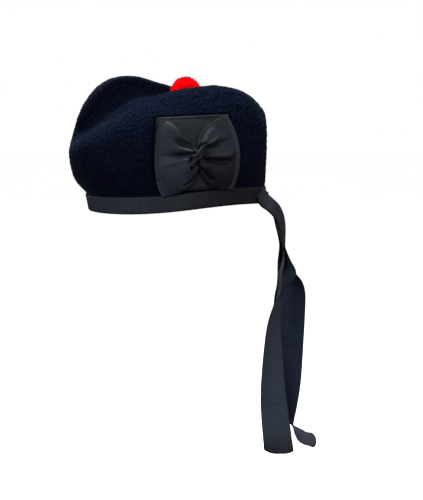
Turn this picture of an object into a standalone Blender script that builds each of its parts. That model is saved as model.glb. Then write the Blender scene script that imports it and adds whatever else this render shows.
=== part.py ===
"""A glengarry: a felted wool cap with a crease from brow to nape, bound at its rim with folded ribbon,
with a ribbon cockade on the wearer's left, a wool toorie in the crease and two ribbon tails behind.

Lengths are in metres. -X is the brow, +X the nape, -Y the wearer's left and +Z up. The origin is the
middle of the head opening.
"""

import math

import bmesh
import bpy
import numpy as np
from mathutils import Vector
from mathutils.bvhtree import BVHTree

# The head opening, measured inside the binding, and the layers round it
HEAD_LENGTH = 0.201
HEAD_WIDTH = 0.162
FELT = 0.0025
RIBBON = 0.001
GAP = 0.0003

# The binding, a ribbon folded over the felt's lower edge
BINDING_HEIGHT = 0.019
FOLD_ROOM = 0.0009
RIM_RISE = 0.009

# The crown
CROWN_HEIGHT = 0.155
BROW_OVERHANG = 0.0230
NAPE_OVERHANG = 0.0018
BROW_LEAN = 0.0036
SIDE_BULGE = 0.006
RIDGE_BROW = 0.0190
RIDGE_NAPE = -0.002
LEFT_SPREAD = 0.057
RIGHT_SPREAD = 0.045
CREASE_BROW_INSET = 0.022
CREASE_NAPE_INSET = 0.016
COLLAR = 0.001

# The cockade, a square ribbon patch with a bow gathered by a knot
COCKADE_WIDTH = 0.079
COCKADE_HEIGHT = 0.080
COCKADE_TO_NAPE = 0.0828
COCKADE_CLEAR = 0.0008
COCKADE_LEAN = math.radians(3)
KNOT_BEHIND = 0.0047
KNOT_BELOW = 0.0025
WING_SPAN = 0.046
WING_RISE = 0.044
BOW_LIFT = 0.0075
FOLD_DEPTH = 0.0038
KNOT_LENGTH = 0.025
KNOT_WIDTH = 0.0082
KNOT_HEIGHT = 0.0075
KNOT_LEAN = math.radians(36)
KNOT_WRING = 0.10
PINCH = 0.005

# The lift of a wing's edges as a share of BOW_LIFT, how far the lift falls towards its outer end, and
# how its gathers widen on the way there
EDGE_LIFT = 0.25
LIFT_FALL = 0.8
GATHER_AT_KNOT = 0.7
GATHER_AT_END = 1.6

# The toorie, a wool pompom of locks on a core
TOORIE_DIAMETER = 0.0345
TOORIE_TO_NAPE = 0.0938
LOCK_DEPTH = 0.0022
LOCKS = 48

# The tails, the same ribbon as the binding, folded lengthwise where they leave it
TAIL_WIDTH = 0.038
TAIL_DROP = 0.318
TAIL_SWING = 0.020
TAIL_SPREAD = 0.020
FOLD_SOFTNESS = 0.22
NEAR_SLANT = 0.011
FOLD_TURN = 0.12

# How finely the forms are divided
CROWN_COLUMNS = 32
PATCH_CELLS = 11
WING_ROWS = 8
WING_CELLS = 22
TAIL_SPANS = 26
TAIL_CELLS = 6

# Heights of the cap, cut across at angles from the brow, 0, to the nape, 180. The rim's is a share of
# RIM_RISE, the far hollow's of HOLLOW_DEPTH, the others of CROWN_HEIGHT. Left and right are the wearer's.
STATION_COLUMNS = (
    "angle", "rim", "belly", "left_ridge", "left_floor", "crease", "right_floor", "right_ridge",
    "far_hollow",
)
STATIONS = (
    (0.0, -0.42, 0.380, 0.520, 0.525, 0.530, 0.525, 0.520, 0.0),
    (22.5, -0.45, 0.380, 0.530, 0.495, 0.515, 0.560, 0.785, 0.8),
    (45.0, -0.50, 0.375, 0.618, 0.575, 0.625, 0.715, 0.992, 1.0),
    (67.5, -0.40, 0.370, 0.775, 0.725, 0.770, 0.850, 1.012, 1.0),
    (90.0, -0.05, 0.365, 0.865, 0.788, 0.742, 0.808, 0.912, 0.8),
    (112.5, 0.45, 0.370, 0.916, 0.780, 0.716, 0.760, 0.872, 0.5),
    (135.0, 0.70, 0.370, 0.885, 0.775, 0.715, 0.745, 0.840, 0.2),
    (157.5, 0.62, 0.370, 0.795, 0.735, 0.695, 0.720, 0.775, 0.0),
    (180.0, 0.55, 0.370, 0.715, 0.700, 0.685, 0.700, 0.715, 0.0),
)

# The rings that the crown is lofted through. Each column says how far a ring has come, in height and
# in plan, along collar 0, belly 1, ridge 2, floor 3 and crease 4.
RING_COLUMNS = ("up", "brow", "nape", "left", "right")
RINGS = (
    (0.00, 0.00, 0.00, 0.00, 0.00),
    (0.05, 0.02, 0.02, 0.02, 0.02),
    (0.30, 0.68, 0.85, 0.55, 0.55),
    (1.00, 1.00, 1.00, 1.00, 1.00),
    (1.52, 1.12, 1.20, 1.13, 1.24),
    (1.88, 1.55, 1.55, 1.62, 1.62),
    (2.00, 2.00, 2.00, 2.00, 2.00),
    (2.22, 2.40, 2.40, 2.18, 2.62),
    (3.00, 3.00, 3.00, 3.00, 3.00),
    (4.00, 4.00, 4.00, 4.00, 4.00),
)
FLOOR_ALONG = 0.45
FLOOR_LEFT = 0.50
FLOOR_RIGHT = 0.60
HOLLOW_DEPTH = 0.018

# The bow's wings, in rows from the knot out: the places of their upper and lower edges, along and up
# from the knot, as shares of WING_SPAN and WING_RISE.
WING_COLUMNS = ("upper_along", "upper_rise", "lower_along", "lower_rise")
FRONT_WING = (
    (-0.02, 0.13, -0.02, -0.36),
    (-0.14, 0.25, -0.05, -0.53),
    (-0.36, 0.50, -0.20, -0.75),
    (-0.61, 0.74, -0.48, -0.92),
    (-0.87, 0.86, -0.81, -1.02),
)
BACK_WING = (
    (0.02, 0.14, 0.02, -0.30),
    (0.03, 0.33, 0.06, -0.46),
    (0.08, 0.62, 0.15, -0.64),
    (0.34, 0.82, 0.32, -0.81),
    (0.64, 0.98, 0.77, -0.86),
)

# How far the outer edge of each wing bulges, as a share of WING_SPAN, and how round the bulge is:
# 1 for a plain arch, less for one with squarer corners
FRONT_BULGE = (0.20, 0.5)
BACK_BULGE = (0.27, 0.9)

# The gathers of each wing, a row for each: where it runs, across the wing from its upper edge 0 to its
# lower edge 1, at the knot and at its outer end, then its width and height, and how far out it reaches.
GATHER_COLUMNS = ("at_knot", "at_end", "width", "height", "reach")
FRONT_GATHERS = (
    (0.03, 0.24, 0.060, -1.0, 0.85),
    (0.14, 0.33, 0.050, 0.7, 0.90),
    (0.24, 0.52, 0.055, -1.1, 0.85),
    (0.29, 0.60, 0.050, 0.9, 1.15),
    (0.66, 0.78, 0.140, 0.5, 0.95),
    (0.90, 0.96, 0.045, -0.6, 0.65),
)
BACK_GATHERS = (
    (0.03, 0.03, 0.050, 0.6, 0.85),
    (0.12, 0.16, 0.050, -0.6, 0.80),
    (0.22, 0.26, 0.055, 1.0, 1.05),
    (0.40, 0.31, 0.050, -1.1, 1.10),
    (0.48, 0.46, 0.090, 0.9, 1.05),
    (0.56, 0.57, 0.045, -1.5, 1.10),
    (0.70, 0.67, 0.045, 0.8, 0.75),
    (0.88, 0.84, 0.045, -0.8, 0.90),
)

# The tails, from where they are free of the binding. Down, back and side are shares of TAIL_DROP,
# TAIL_SWING and TAIL_SPREAD, from the nape of the rim. Facing is the compass angle of the folded
# ribbon's face, and open the angle between its halves, in degrees.
TAIL_COLUMNS = ("down", "back", "side", "facing", "open")
NEAR_TAIL = (
    (0.035, 0.20, -1.32, -26, 0),
    (0.065, 0.63, -1.00, -30, 0),
    (0.110, 0.88, -0.85, -26, 0),
    (0.185, 1.03, -0.80, -6, 0),
    (0.250, 1.09, -0.85, 18, 24),
    (0.300, 1.02, -0.95, 52, 92),
    (0.350, 0.77, -1.02, 84, 160),
    (0.410, 0.58, -1.10, 70, 170),
    (0.500, 0.38, -1.15, 60, 172),
    (0.690, 0.37, -1.20, 42, 174),
    (0.800, 0.48, -1.20, 33, 174),
    (0.895, 0.65, -1.20, 28, 174),
    (0.952, 0.76, -1.20, 25, 174),
)
FAR_TAIL = (
    (0.035, 0.30, 0.50, -14, 0),
    (0.065, 0.60, 0.58, -25, 0),
    (0.110, 0.78, 0.64, -25, 0),
    (0.185, 0.95, 0.70, -8, 6),
    (0.250, 1.03, 0.78, 0, 34),
    (0.310, 1.27, 0.84, 0, 70),
    (0.362, 1.49, 0.86, 0, 125),
    (0.425, 1.49, 0.86, -4, 155),
    (0.600, 1.37, 0.82, -14, 170),
    (0.710, 1.32, 0.80, -26, 172),
    (0.810, 1.28, 0.80, -46, 172),
    (0.872, 1.46, 0.80, -70, 172),
    (0.912, 1.86, 0.80, -92, 172),
    (0.940, 2.40, 0.80, -112, 172),
    (0.956, 3.20, 0.80, -124, 172),
)

# Where the tails' sewn ends lie on the binding: the angle from the brow and the share of its height
TAIL_SEWN_COLUMNS = ("angle", "up")
NEAR_SEWN = ((155.0, 0.72), (158.5, 0.36))
FAR_SEWN = ((184.0, 0.66), (184.5, 0.28))

# Colours and how dull each surface is
FELT_COLOUR = (0.0045, 0.0060, 0.0140, 1)
RIBBON_COLOUR = (0.019, 0.021, 0.026, 1)
BOW_COLOUR = (0.022, 0.025, 0.031, 1)
TOORIE_COLOUR = (0.72, 0.004, 0.008, 1)
FELT_ROUGHNESS = 0.95
RIBBON_ROUGHNESS = 0.6
BOW_ROUGHNESS = 0.5
TOORIE_ROUGHNESS = 0.9

FELT_LENGTH_HALF = HEAD_LENGTH / 2 + RIBBON + GAP + FELT
FELT_WIDTH_HALF = HEAD_WIDTH / 2 + RIBBON + GAP + FELT
COCKADE_BACK = FELT_LENGTH_HALF - COCKADE_TO_NAPE
COCKADE_UP = RIM_RISE / 2 + BINDING_HEIGHT + COCKADE_CLEAR + COCKADE_HEIGHT / 2
KNOT_BACK = COCKADE_BACK + KNOT_BEHIND
KNOT_UP = COCKADE_UP - KNOT_BELOW
PATCH_STAND = 1.5 * GAP
BOW_STAND = PATCH_STAND + RIBBON + 2.5 * GAP
KNOT_STAND = BOW_STAND + RIBBON + KNOT_HEIGHT / 2
TOORIE_BACK = FELT_LENGTH_HALF - TOORIE_TO_NAPE


def clear_scene():
    for item in list(bpy.data.objects):
        bpy.data.objects.remove(item)


def material(name, colour, roughness):
    made = bpy.data.materials.new(name)
    made.use_nodes = True
    shader = made.node_tree.nodes["Principled BSDF"]
    shader.inputs["Base Color"].default_value = colour
    shader.inputs["Roughness"].default_value = roughness
    shader.inputs["Metallic"].default_value = 0.0
    return made


def column(table, names, name):
    """One named column of a table."""
    return np.array([row[names.index(name)] for row in table], float)


def blend(knots, place):
    """The value at a place along the knots: 0 is the first, 1 the second, and fractions lie between."""
    low = min(int(place), len(knots) - 2)
    share = place - low
    return (1 - share) * knots[low] + share * knots[low + 1]


def smooth_line(values, places):
    """Values of a smooth curve through evenly numbered knots, at the given places (a cubic through each
    knot whose slope there is half the step between its neighbours)."""
    values = np.asarray(values, float)
    first = 2 * values[:1] - values[1:2]
    last = 2 * values[-1:] - values[-2:-1]
    padded = np.concatenate([first, values, last])
    low = np.clip(np.floor(places).astype(int), 0, len(values) - 2)
    share = np.asarray(places) - low
    if values.ndim > 1:
        share = share[:, None]
    before, start, end, after = (padded[low + step] for step in range(4))
    slope_start = (end - before) / 2
    slope_end = (after - start) / 2
    return (
        (2 * share**3 - 3 * share**2 + 1) * start
        + (share**3 - 2 * share**2 + share) * slope_start
        + (3 * share**2 - 2 * share**3) * end
        + (share**3 - share**2) * slope_end
    )


def around(left, right):
    """Values at each of the crown's columns, once round from the brow by the wearer's left."""
    ring = np.concatenate([left, right[-2:0:-1]])
    looped = np.concatenate([ring[-3:], ring, ring[:4]])
    places = 3 + np.arange(CROWN_COLUMNS) * len(ring) / CROWN_COLUMNS
    return smooth_line(looped, places)


def angles():
    return 2 * math.pi * np.arange(CROWN_COLUMNS) / CROWN_COLUMNS


def ring(brow, nape, left, right, height):
    """One closed ring: an oval in plan whose four reaches differ, at a height for each column."""
    turn = angles()
    along = -np.where(np.cos(turn) > 0, brow, nape) * np.cos(turn)
    side = -np.where(np.sin(turn) > 0, left, right) * np.sin(turn)
    return np.column_stack([along, side, height * np.ones(CROWN_COLUMNS)])


def rim_height():
    rim = RIM_RISE * column(STATIONS, STATION_COLUMNS, "rim")
    return around(rim, rim)


def brow_reach(up):
    """The felt's reach at the brow, which leans forward, at a height above the rim."""
    return FELT_LENGTH_HALF + BROW_LEAN * (up / BINDING_HEIGHT - 0.25)


def rim_ring(outward, up):
    """A ring at a distance out from the felt's outer face, at a height above the rim."""
    length = FELT_LENGTH_HALF + outward
    width = FELT_WIDTH_HALF + outward
    return ring(brow_reach(up) + outward, length, width, width, rim_height() + up)


def level_out(points):
    """Level unit vectors that point out of a ring, square to its plan."""
    ahead = np.roll(points, -1, axis=0) - np.roll(points, 1, axis=0)
    out = np.column_stack([-ahead[:, 1], ahead[:, 0], np.zeros(len(points))])
    out *= np.sign((out * points).sum(axis=1, keepdims=True))
    return out / np.linalg.norm(out, axis=1, keepdims=True)


def crown_rings():
    """The crown's outer face, from the felt's lower edge up to the crease."""

    def heights(left, right):
        return CROWN_HEIGHT * around(
            column(STATIONS, STATION_COLUMNS, left), column(STATIONS, STATION_COLUMNS, right)
        )

    collar = BINDING_HEIGHT + COLLAR
    up = (
        rim_height() + collar,
        heights("belly", "belly"),
        heights("left_ridge", "right_ridge"),
        heights("left_floor", "right_floor"),
        heights("crease", "crease"),
    )
    ridge_brow = FELT_LENGTH_HALF + RIDGE_BROW
    ridge_nape = FELT_LENGTH_HALF + RIDGE_NAPE
    plan = {
        "brow": (
            brow_reach(collar), FELT_LENGTH_HALF + BROW_OVERHANG, ridge_brow,
            ridge_brow - FLOOR_ALONG * CREASE_BROW_INSET, ridge_brow - CREASE_BROW_INSET,
        ),
        "nape": (
            FELT_LENGTH_HALF, FELT_LENGTH_HALF + NAPE_OVERHANG, ridge_nape,
            ridge_nape - FLOOR_ALONG * CREASE_NAPE_INSET, ridge_nape - CREASE_NAPE_INSET,
        ),
        "left": (
            FELT_WIDTH_HALF, FELT_WIDTH_HALF + SIDE_BULGE, LEFT_SPREAD,
            FLOOR_LEFT * LEFT_SPREAD, 0.0,
        ),
        "right": (
            FELT_WIDTH_HALF, FELT_WIDTH_HALF + SIDE_BULGE, RIGHT_SPREAD,
            FLOOR_RIGHT * RIGHT_SPREAD, 0.0,
        ),
    }
    rings = [rim_ring(0, RIBBON + FOLD_ROOM + GAP)]
    for row in RINGS:
        places = dict(zip(RING_COLUMNS, row))
        reaches = [blend(plan[side], places[side]) for side in ("brow", "nape", "left", "right")]
        rings.append(ring(*reaches, blend(up, places["up"])))
    hollow = column(STATIONS, STATION_COLUMNS, "far_hollow")
    rings[-2] += HOLLOW_DEPTH * around(0 * hollow, hollow)[:, None] * level_out(rings[-4])
    return np.array(rings)


def lofted(name, rows, closed, finish):
    """An object whose open surface joins rows of points, and runs round them where they are closed."""
    count, width = rows.shape[:2]
    spans = width if closed else width - 1
    mesh = bpy.data.meshes.new(name)
    faces = [
        (r * width + c, r * width + (c + 1) % width,
         (r + 1) * width + (c + 1) % width, (r + 1) * width + c)
        for r in range(count - 1)
        for c in range(spans)
    ]
    mesh.from_pydata(rows.reshape(-1, 3).tolist(), [], faces)
    shape = bmesh.new()
    shape.from_mesh(mesh)
    bmesh.ops.remove_doubles(shape, verts=shape.verts, dist=1e-6)
    shape.to_mesh(mesh)
    shape.free()
    mesh.shade_smooth()
    mesh.materials.append(finish)
    made = bpy.data.objects.new(name, mesh)
    return made


def add_subdivision(item, levels):
    step = item.modifiers.new("Smooth form", "SUBSURF")
    step.levels = levels
    step.render_levels = levels


def add_thickness(item, thickness, offset, even=True):
    step = item.modifiers.new("Wall", "SOLIDIFY")
    step.thickness = thickness
    step.offset = offset
    step.use_even_offset = even


def tree_of(item):
    """A search tree of the finished surface of an object."""
    bpy.context.view_layer.update()
    return BVHTree.FromObject(item, bpy.context.evaluated_depsgraph_get())


def make_crown(finish):
    crown = lofted("crown", crown_rings(), True, finish)
    add_subdivision(crown, 1)
    add_thickness(crown, FELT, -1)
    return crown


def rounded(closed_ring):
    """A ring with twice the points, on the same smooth curve as one level of subdivision gives."""
    before = np.roll(closed_ring, 1, axis=0)
    after = np.roll(closed_ring, -1, axis=0)
    kept = (before + 6 * closed_ring + after) / 8
    between = (closed_ring + after) / 2
    return np.stack([kept, between], axis=1).reshape(-1, 3)


def make_binding(finish):
    """The folded ribbon: down the felt's outer face, round its lower edge and up its inner face."""
    outside = GAP
    inside = -FELT - GAP
    bend = FOLD_ROOM / 2
    section = (
        (outside, BINDING_HEIGHT),
        (outside, RIBBON + FOLD_ROOM),
        (outside - bend, RIBBON),
        (inside + bend, RIBBON),
        (inside, RIBBON + FOLD_ROOM),
        (inside, BINDING_HEIGHT),
    )
    rings = [rounded(rim_ring(outward, up)) for outward, up in section]
    binding = lofted("binding", np.array(rings), True, finish)
    add_thickness(binding, RIBBON, -1)
    return binding


class CrownSide:
    """The crown's left wall, seen from the left: places on it, and places standing off it."""

    def __init__(self, crown):
        self.tree = tree_of(crown)

    def point(self, along, up):
        start = Vector((along, -HEAD_WIDTH, up))
        return np.array(self.tree.ray_cast(start, Vector((0, 1, 0)))[0])

    def off(self, along, up, distance):
        """The place at a distance out from the wall, square to the wall as it lies there."""
        reach = COCKADE_WIDTH / 8
        across = self.point(along + reach, up) - self.point(along - reach, up)
        upward = self.point(along, up + reach) - self.point(along, up - reach)
        outward = np.cross(across, upward)
        return self.point(along, up) + outward / np.linalg.norm(outward) * distance


def make_backing(side, finish):
    """The square patch, one ribbon thick, laid on the crown's left wall."""
    share = np.linspace(-0.5, 0.5, PATCH_CELLS + 1)
    lean_cos, lean_sin = math.cos(COCKADE_LEAN), math.sin(COCKADE_LEAN)
    rows = []
    for v in share:
        row = []
        for u in share:
            x, z = u * COCKADE_WIDTH, v * COCKADE_HEIGHT
            along = COCKADE_BACK + x * lean_cos - z * lean_sin
            up = COCKADE_UP + x * lean_sin + z * lean_cos
            row.append(side.off(along, up, PATCH_STAND))
        rows.append(row)
    backing = lofted("cockade_backing", np.array(rows), False, finish)
    add_thickness(backing, RIBBON, 1)
    return backing


def gather_height(across, out, gathers):
    """The sum of a wing's gathers: each a smooth ridge or furrow that fades towards its outer reach."""
    total = 0.0
    for row in gathers:
        gather = dict(zip(GATHER_COLUMNS, row))
        middle = gather["at_knot"] + (gather["at_end"] - gather["at_knot"]) * out
        width = gather["width"] * (GATHER_AT_KNOT + (GATHER_AT_END - GATHER_AT_KNOT) * out)
        fade = max(0.0, 1 - (out / gather["reach"]) ** 2)
        total += gather["height"] * fade * math.exp(-(((across - middle) / width) ** 2))
    return FOLD_DEPTH * total


def beyond_knot(place):
    """How free of the knot a place of the bow is: 0 under the knot, and 1 from PINCH beyond it."""
    axis = np.array([math.sin(KNOT_LEAN), math.cos(KNOT_LEAN)])
    along = np.clip(place @ axis, -KNOT_LENGTH / 2, KNOT_LENGTH / 2)
    away = np.linalg.norm(place - along * axis) - KNOT_WIDTH / 2
    share = min(1.0, max(0.0, away / PINCH))
    return share * share * (3 - 2 * share)


def make_wing(name, side, table, bulging, outward, gathers, finish):
    """One half of the bow: spread between its upper and lower edges, and gathered at the knot."""
    bulge, roundness = bulging
    outs = np.linspace(0, 1, WING_ROWS + 1) ** 1.2
    edges = smooth_line(table, outs * (len(table) - 1))
    rows = []
    for out, edge in zip(outs, edges):
        upper = np.array([edge[0] * WING_SPAN, edge[1] * WING_RISE])
        lower = np.array([edge[2] * WING_SPAN, edge[3] * WING_RISE])
        row = []
        for across in np.linspace(0, 1, WING_CELLS + 1):
            place = upper + (lower - upper) * across
            arch = 4 * across * (1 - across)
            place[0] += outward * bulge * WING_SPAN * arch**roundness * out**2
            billow = EDGE_LIFT + (1 - EDGE_LIFT) * math.sqrt(arch)
            lift = BOW_LIFT * billow * (1 - LIFT_FALL * out**1.5)
            lift += gather_height(across, out, gathers)
            height = BOW_STAND + beyond_knot(place) * max(lift, 0.0)
            row.append(side.off(KNOT_BACK + place[0], KNOT_UP + place[1], height))
        rows.append(row)
    rows = np.array(rows)
    if outward < 0:
        rows = rows[:, ::-1]
    wing = lofted(name, rows, False, finish)
    add_thickness(wing, RIBBON, 1, even=False)
    return wing


def make_knot(side, finish):
    """The wrap that gathers the bow: a short roll, wrung so that its folds run round it."""
    shape = bmesh.new()
    bmesh.ops.create_uvsphere(shape, u_segments=14, v_segments=8, radius=0.5)
    for vert in shape.verts:
        turn = math.atan2(vert.co.y, vert.co.x)
        wrung = 1 + KNOT_WRING * math.cos(3 * turn + 5 * vert.co.z)
        vert.co.x *= wrung
        vert.co.y *= wrung
        vert.co = Vector((vert.co.x * KNOT_WIDTH, vert.co.y * KNOT_HEIGHT, vert.co.z * KNOT_LENGTH))
    mesh = bpy.data.meshes.new("bow_knot")
    shape.to_mesh(mesh)
    shape.free()
    mesh.shade_smooth()
    mesh.materials.append(finish)
    knot = bpy.data.objects.new("bow_knot", mesh)
    place = side.off(KNOT_BACK, KNOT_UP, KNOT_STAND)
    outward = Vector(place - side.point(KNOT_BACK, KNOT_UP)).normalized()
    knot.location = place
    knot.rotation_mode = "QUATERNION"
    to_wall = Vector((0, -1, 0)).rotation_difference(outward)
    lean = Vector((0, 0, 1)).rotation_difference(
        Vector((math.sin(KNOT_LEAN), 0, math.cos(KNOT_LEAN)))
    )
    knot.rotation_quaternion = to_wall @ lean
    return knot


def lock_axes():
    """Directions spread evenly over a sphere, each a golden turn on from the one before."""
    index = np.arange(LOCKS)
    up = 1 - 2 * (index + 0.5) / LOCKS
    across = np.sqrt(1 - up**2)
    turn = math.pi * (3 - math.sqrt(5)) * index
    return np.column_stack([across * np.cos(turn), across * np.sin(turn), up])


def make_toorie(finish):
    """The pompom: blunt locks of pile that stand out of one core, each a dome round its own axis."""
    axes = lock_axes()
    spread = 2 / math.sqrt(LOCKS)
    shape = bmesh.new()
    bmesh.ops.create_icosphere(shape, subdivisions=4, radius=1)
    for vert in shape.verts:
        away = math.acos(min(1.0, float((axes @ np.array(vert.co)).max())))
        furrow = LOCK_DEPTH * min(1.0, away / spread) ** 2
        vert.co *= TOORIE_DIAMETER / 2 - furrow
    mesh = bpy.data.meshes.new("toorie")
    shape.to_mesh(mesh)
    shape.free()
    mesh.shade_smooth()
    mesh.materials.append(finish)
    toorie = bpy.data.objects.new("toorie", mesh)
    toorie.location = (TOORIE_BACK, 0, CROWN_HEIGHT + TOORIE_DIAMETER)
    return toorie


def seat(item, tree, gap):
    """Lowers an object until the gap below it, measured down each of its points, is the one given."""
    bpy.context.view_layer.update()
    graph = bpy.context.evaluated_depsgraph_get()
    finished = item.evaluated_get(graph)
    down = Vector((0, 0, -1))
    drops = []
    for vert in finished.data.vertices:
        place = item.matrix_world @ vert.co
        hit = tree.ray_cast(place, down)
        if hit[0] is not None:
            drops.append(hit[3])
    item.location.z -= min(drops) - gap


def outward_of(turn):
    """The level direction that points square out of the binding at an angle from the brow."""
    across = np.array([
        -math.cos(turn) / FELT_LENGTH_HALF, -math.sin(turn) / FELT_WIDTH_HALF, 0.0,
    ])
    return across / np.linalg.norm(across)


def sewn_points(tree, table):
    """Where a tail's folded end lies on the binding, and the compass angle that it faces there."""
    stand = GAP + RIBBON + GAP / 2
    rim = rim_height()
    found = []
    for row in table:
        sewn = dict(zip(TAIL_SEWN_COLUMNS, row))
        turn = math.radians(sewn["angle"])
        outward = outward_of(turn)
        up = rim[CROWN_COLUMNS // 2] + sewn["up"] * BINDING_HEIGHT
        centre = np.array([
            -FELT_LENGTH_HALF * math.cos(turn), -FELT_WIDTH_HALF * math.sin(turn), up,
        ])
        start = Vector(centre + outward * HEAD_WIDTH)
        hit = np.array(tree.ray_cast(start, Vector(-outward))[0])
        facing = math.degrees(math.atan2(outward[1], outward[0]))
        found.append([*(hit + outward * stand), facing, 0.0])
    return found


def tail_stations(tree, sewn, table):
    """Rows of place, facing and opening, from the sewn end down."""
    nape = FELT_LENGTH_HALF + GAP + RIBBON
    top = rim_height()[CROWN_COLUMNS // 2] + BINDING_HEIGHT / 2
    stations = sewn_points(tree, sewn)
    for row in table:
        station = dict(zip(TAIL_COLUMNS, row))
        stations.append([
            nape + station["back"] * TAIL_SWING,
            station["side"] * TAIL_SPREAD,
            top - station["down"] * TAIL_DROP,
            station["facing"],
            station["open"],
        ])
    return np.array(stations)


def evenly(stations, spans):
    """Stations of a smooth curve through the given ones, at equal steps along its length."""
    fine = smooth_line(stations, np.linspace(0, len(stations) - 1, 40 * len(stations)))
    steps = np.linalg.norm(np.diff(fine[:, :3], axis=0), axis=1)
    length = np.concatenate([[0], np.cumsum(steps)])
    wanted = np.linspace(0, length[-1], spans + 1)
    return np.column_stack([np.interp(wanted, length, part) for part in fine.T])


def make_tail(name, tree, sewn, table, slant, finish):
    """A ribbon carried along its path. Its two halves hinge on its middle line, from shut to flat. Its
    end is cut on a slant, longer at the edge towards the nape."""
    stations = evenly(tail_stations(tree, sewn, table), TAIL_SPANS)
    paths = np.gradient(stations[:, :3], axis=0)
    across = np.linspace(-1, 1, TAIL_CELLS + 1)
    reach = np.sqrt(across**2 + FOLD_SOFTNESS**2) - FOLD_SOFTNESS
    reach /= reach[0]
    half = TAIL_WIDTH / 2
    layer = (RIBBON + GAP) / 2 * np.tanh(across / FOLD_TURN)
    rows = []
    for station, path in zip(stations, paths):
        path = path / np.linalg.norm(path)
        facing, opening = np.radians(station[3:])
        face = np.array([math.cos(facing), math.sin(facing), 0.0])
        edge = np.cross(path, face)
        edge /= np.linalg.norm(edge)
        face = np.cross(edge, path)
        along_edge = half * (reach - 0.5) * math.cos(opening / 2)
        along_face = half * across * math.sin(opening / 2) + layer
        rows.append(station[:3] + along_edge[:, None] * edge + along_face[:, None] * face)
    rows[-1] = rows[-1] + slant * (across[:, None] + 1) / 2 * path
    tail = lofted(name, np.array(rows), False, finish)
    add_thickness(tail, RIBBON, 0)
    return tail


def main():
    clear_scene()
    cap = bpy.data.collections.new("glengarry")
    bpy.context.scene.collection.children.link(cap)

    felt = material("felt", FELT_COLOUR, FELT_ROUGHNESS)
    ribbed = material("ribbed_ribbon", RIBBON_COLOUR, RIBBON_ROUGHNESS)
    smooth = material("bow_ribbon", BOW_COLOUR, BOW_ROUGHNESS)
    wool = material("toorie_wool", TOORIE_COLOUR, TOORIE_ROUGHNESS)

    crown = make_crown(felt)
    cap.objects.link(crown)
    binding = make_binding(ribbed)
    cap.objects.link(binding)

    side = CrownSide(crown)
    cap.objects.link(make_backing(side, ribbed))
    cap.objects.link(
        make_wing("bow_front_wing", side, FRONT_WING, FRONT_BULGE, -1, FRONT_GATHERS, smooth)
    )
    cap.objects.link(
        make_wing("bow_back_wing", side, BACK_WING, BACK_BULGE, 1, BACK_GATHERS, smooth)
    )
    cap.objects.link(make_knot(side, smooth))

    toorie = make_toorie(wool)
    cap.objects.link(toorie)
    seat(toorie, side.tree, GAP)

    rim = tree_of(binding)
    cap.objects.link(make_tail("tail_near", rim, NEAR_SEWN, NEAR_TAIL, NEAR_SLANT, ribbed))
    cap.objects.link(make_tail("tail_far", rim, FAR_SEWN, FAR_TAIL, 0, ribbed))


main()
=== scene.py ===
# %% [markdown]
# # A glengarry, dressed
# The cap's construction model already gives every piece its size and its place. This lesson puts a
# finely divided surface over each of its plain solids. Every surface is worked out with numpy as a
# whole array of points, and then finished with a material made of nodes. The cap's front is -X, its
# back +X, the wearer's left -Y and up +Z, and lengths are in metres.

# %% Load the construction model
import math

import bmesh
import bpy
import numpy as np
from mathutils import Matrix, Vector


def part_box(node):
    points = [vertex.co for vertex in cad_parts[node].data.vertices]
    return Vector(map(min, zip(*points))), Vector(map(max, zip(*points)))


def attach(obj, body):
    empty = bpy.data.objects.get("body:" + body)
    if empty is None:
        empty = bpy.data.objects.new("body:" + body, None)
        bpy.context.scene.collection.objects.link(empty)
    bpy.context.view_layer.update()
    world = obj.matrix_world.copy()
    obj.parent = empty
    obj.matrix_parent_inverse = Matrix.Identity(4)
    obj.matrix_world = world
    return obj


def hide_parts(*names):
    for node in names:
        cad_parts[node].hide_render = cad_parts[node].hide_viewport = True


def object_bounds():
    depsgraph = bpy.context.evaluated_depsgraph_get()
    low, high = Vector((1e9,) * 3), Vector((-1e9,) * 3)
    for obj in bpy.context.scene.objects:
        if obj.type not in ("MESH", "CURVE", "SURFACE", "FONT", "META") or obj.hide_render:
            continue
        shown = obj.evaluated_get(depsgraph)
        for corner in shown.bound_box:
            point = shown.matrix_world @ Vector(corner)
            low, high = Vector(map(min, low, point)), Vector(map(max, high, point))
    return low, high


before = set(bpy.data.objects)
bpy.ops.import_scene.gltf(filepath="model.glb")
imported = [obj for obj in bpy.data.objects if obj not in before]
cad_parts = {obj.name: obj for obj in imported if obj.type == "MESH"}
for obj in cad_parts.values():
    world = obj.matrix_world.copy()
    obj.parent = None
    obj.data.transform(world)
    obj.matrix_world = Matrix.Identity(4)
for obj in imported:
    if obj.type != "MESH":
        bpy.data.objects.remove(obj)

cad_box = [list(corner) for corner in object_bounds()]
print("construction model, corners in metres:", cad_box)

# %% [markdown]
# ## Sizes
# The cap is made for a head, so nearly all of its sizes follow from the binding round the opening.
# They could be typed in again, but reading them from the model keeps the two in step. The layers of
# felt and ribbon are thin, and a small gap between them keeps their surfaces apart.

# %% The layers, and the opening read from the binding
FELT = 0.0025
RIBBON = 0.001
GAP = 0.0003
COLUMNS = 32
RING_SHRINK = (3 + math.cos(2 * math.pi / COLUMNS)) / 4

low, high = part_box("binding")
HALF_LENGTH = high.x / RING_SHRINK - GAP - RIBBON
HALF_WIDTH = high.y / RING_SHRINK - GAP - RIBBON
print(f"felt at the rim: {2 * HALF_LENGTH * 1000:.1f} by {2 * HALF_WIDTH * 1000:.1f} mm")

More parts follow.
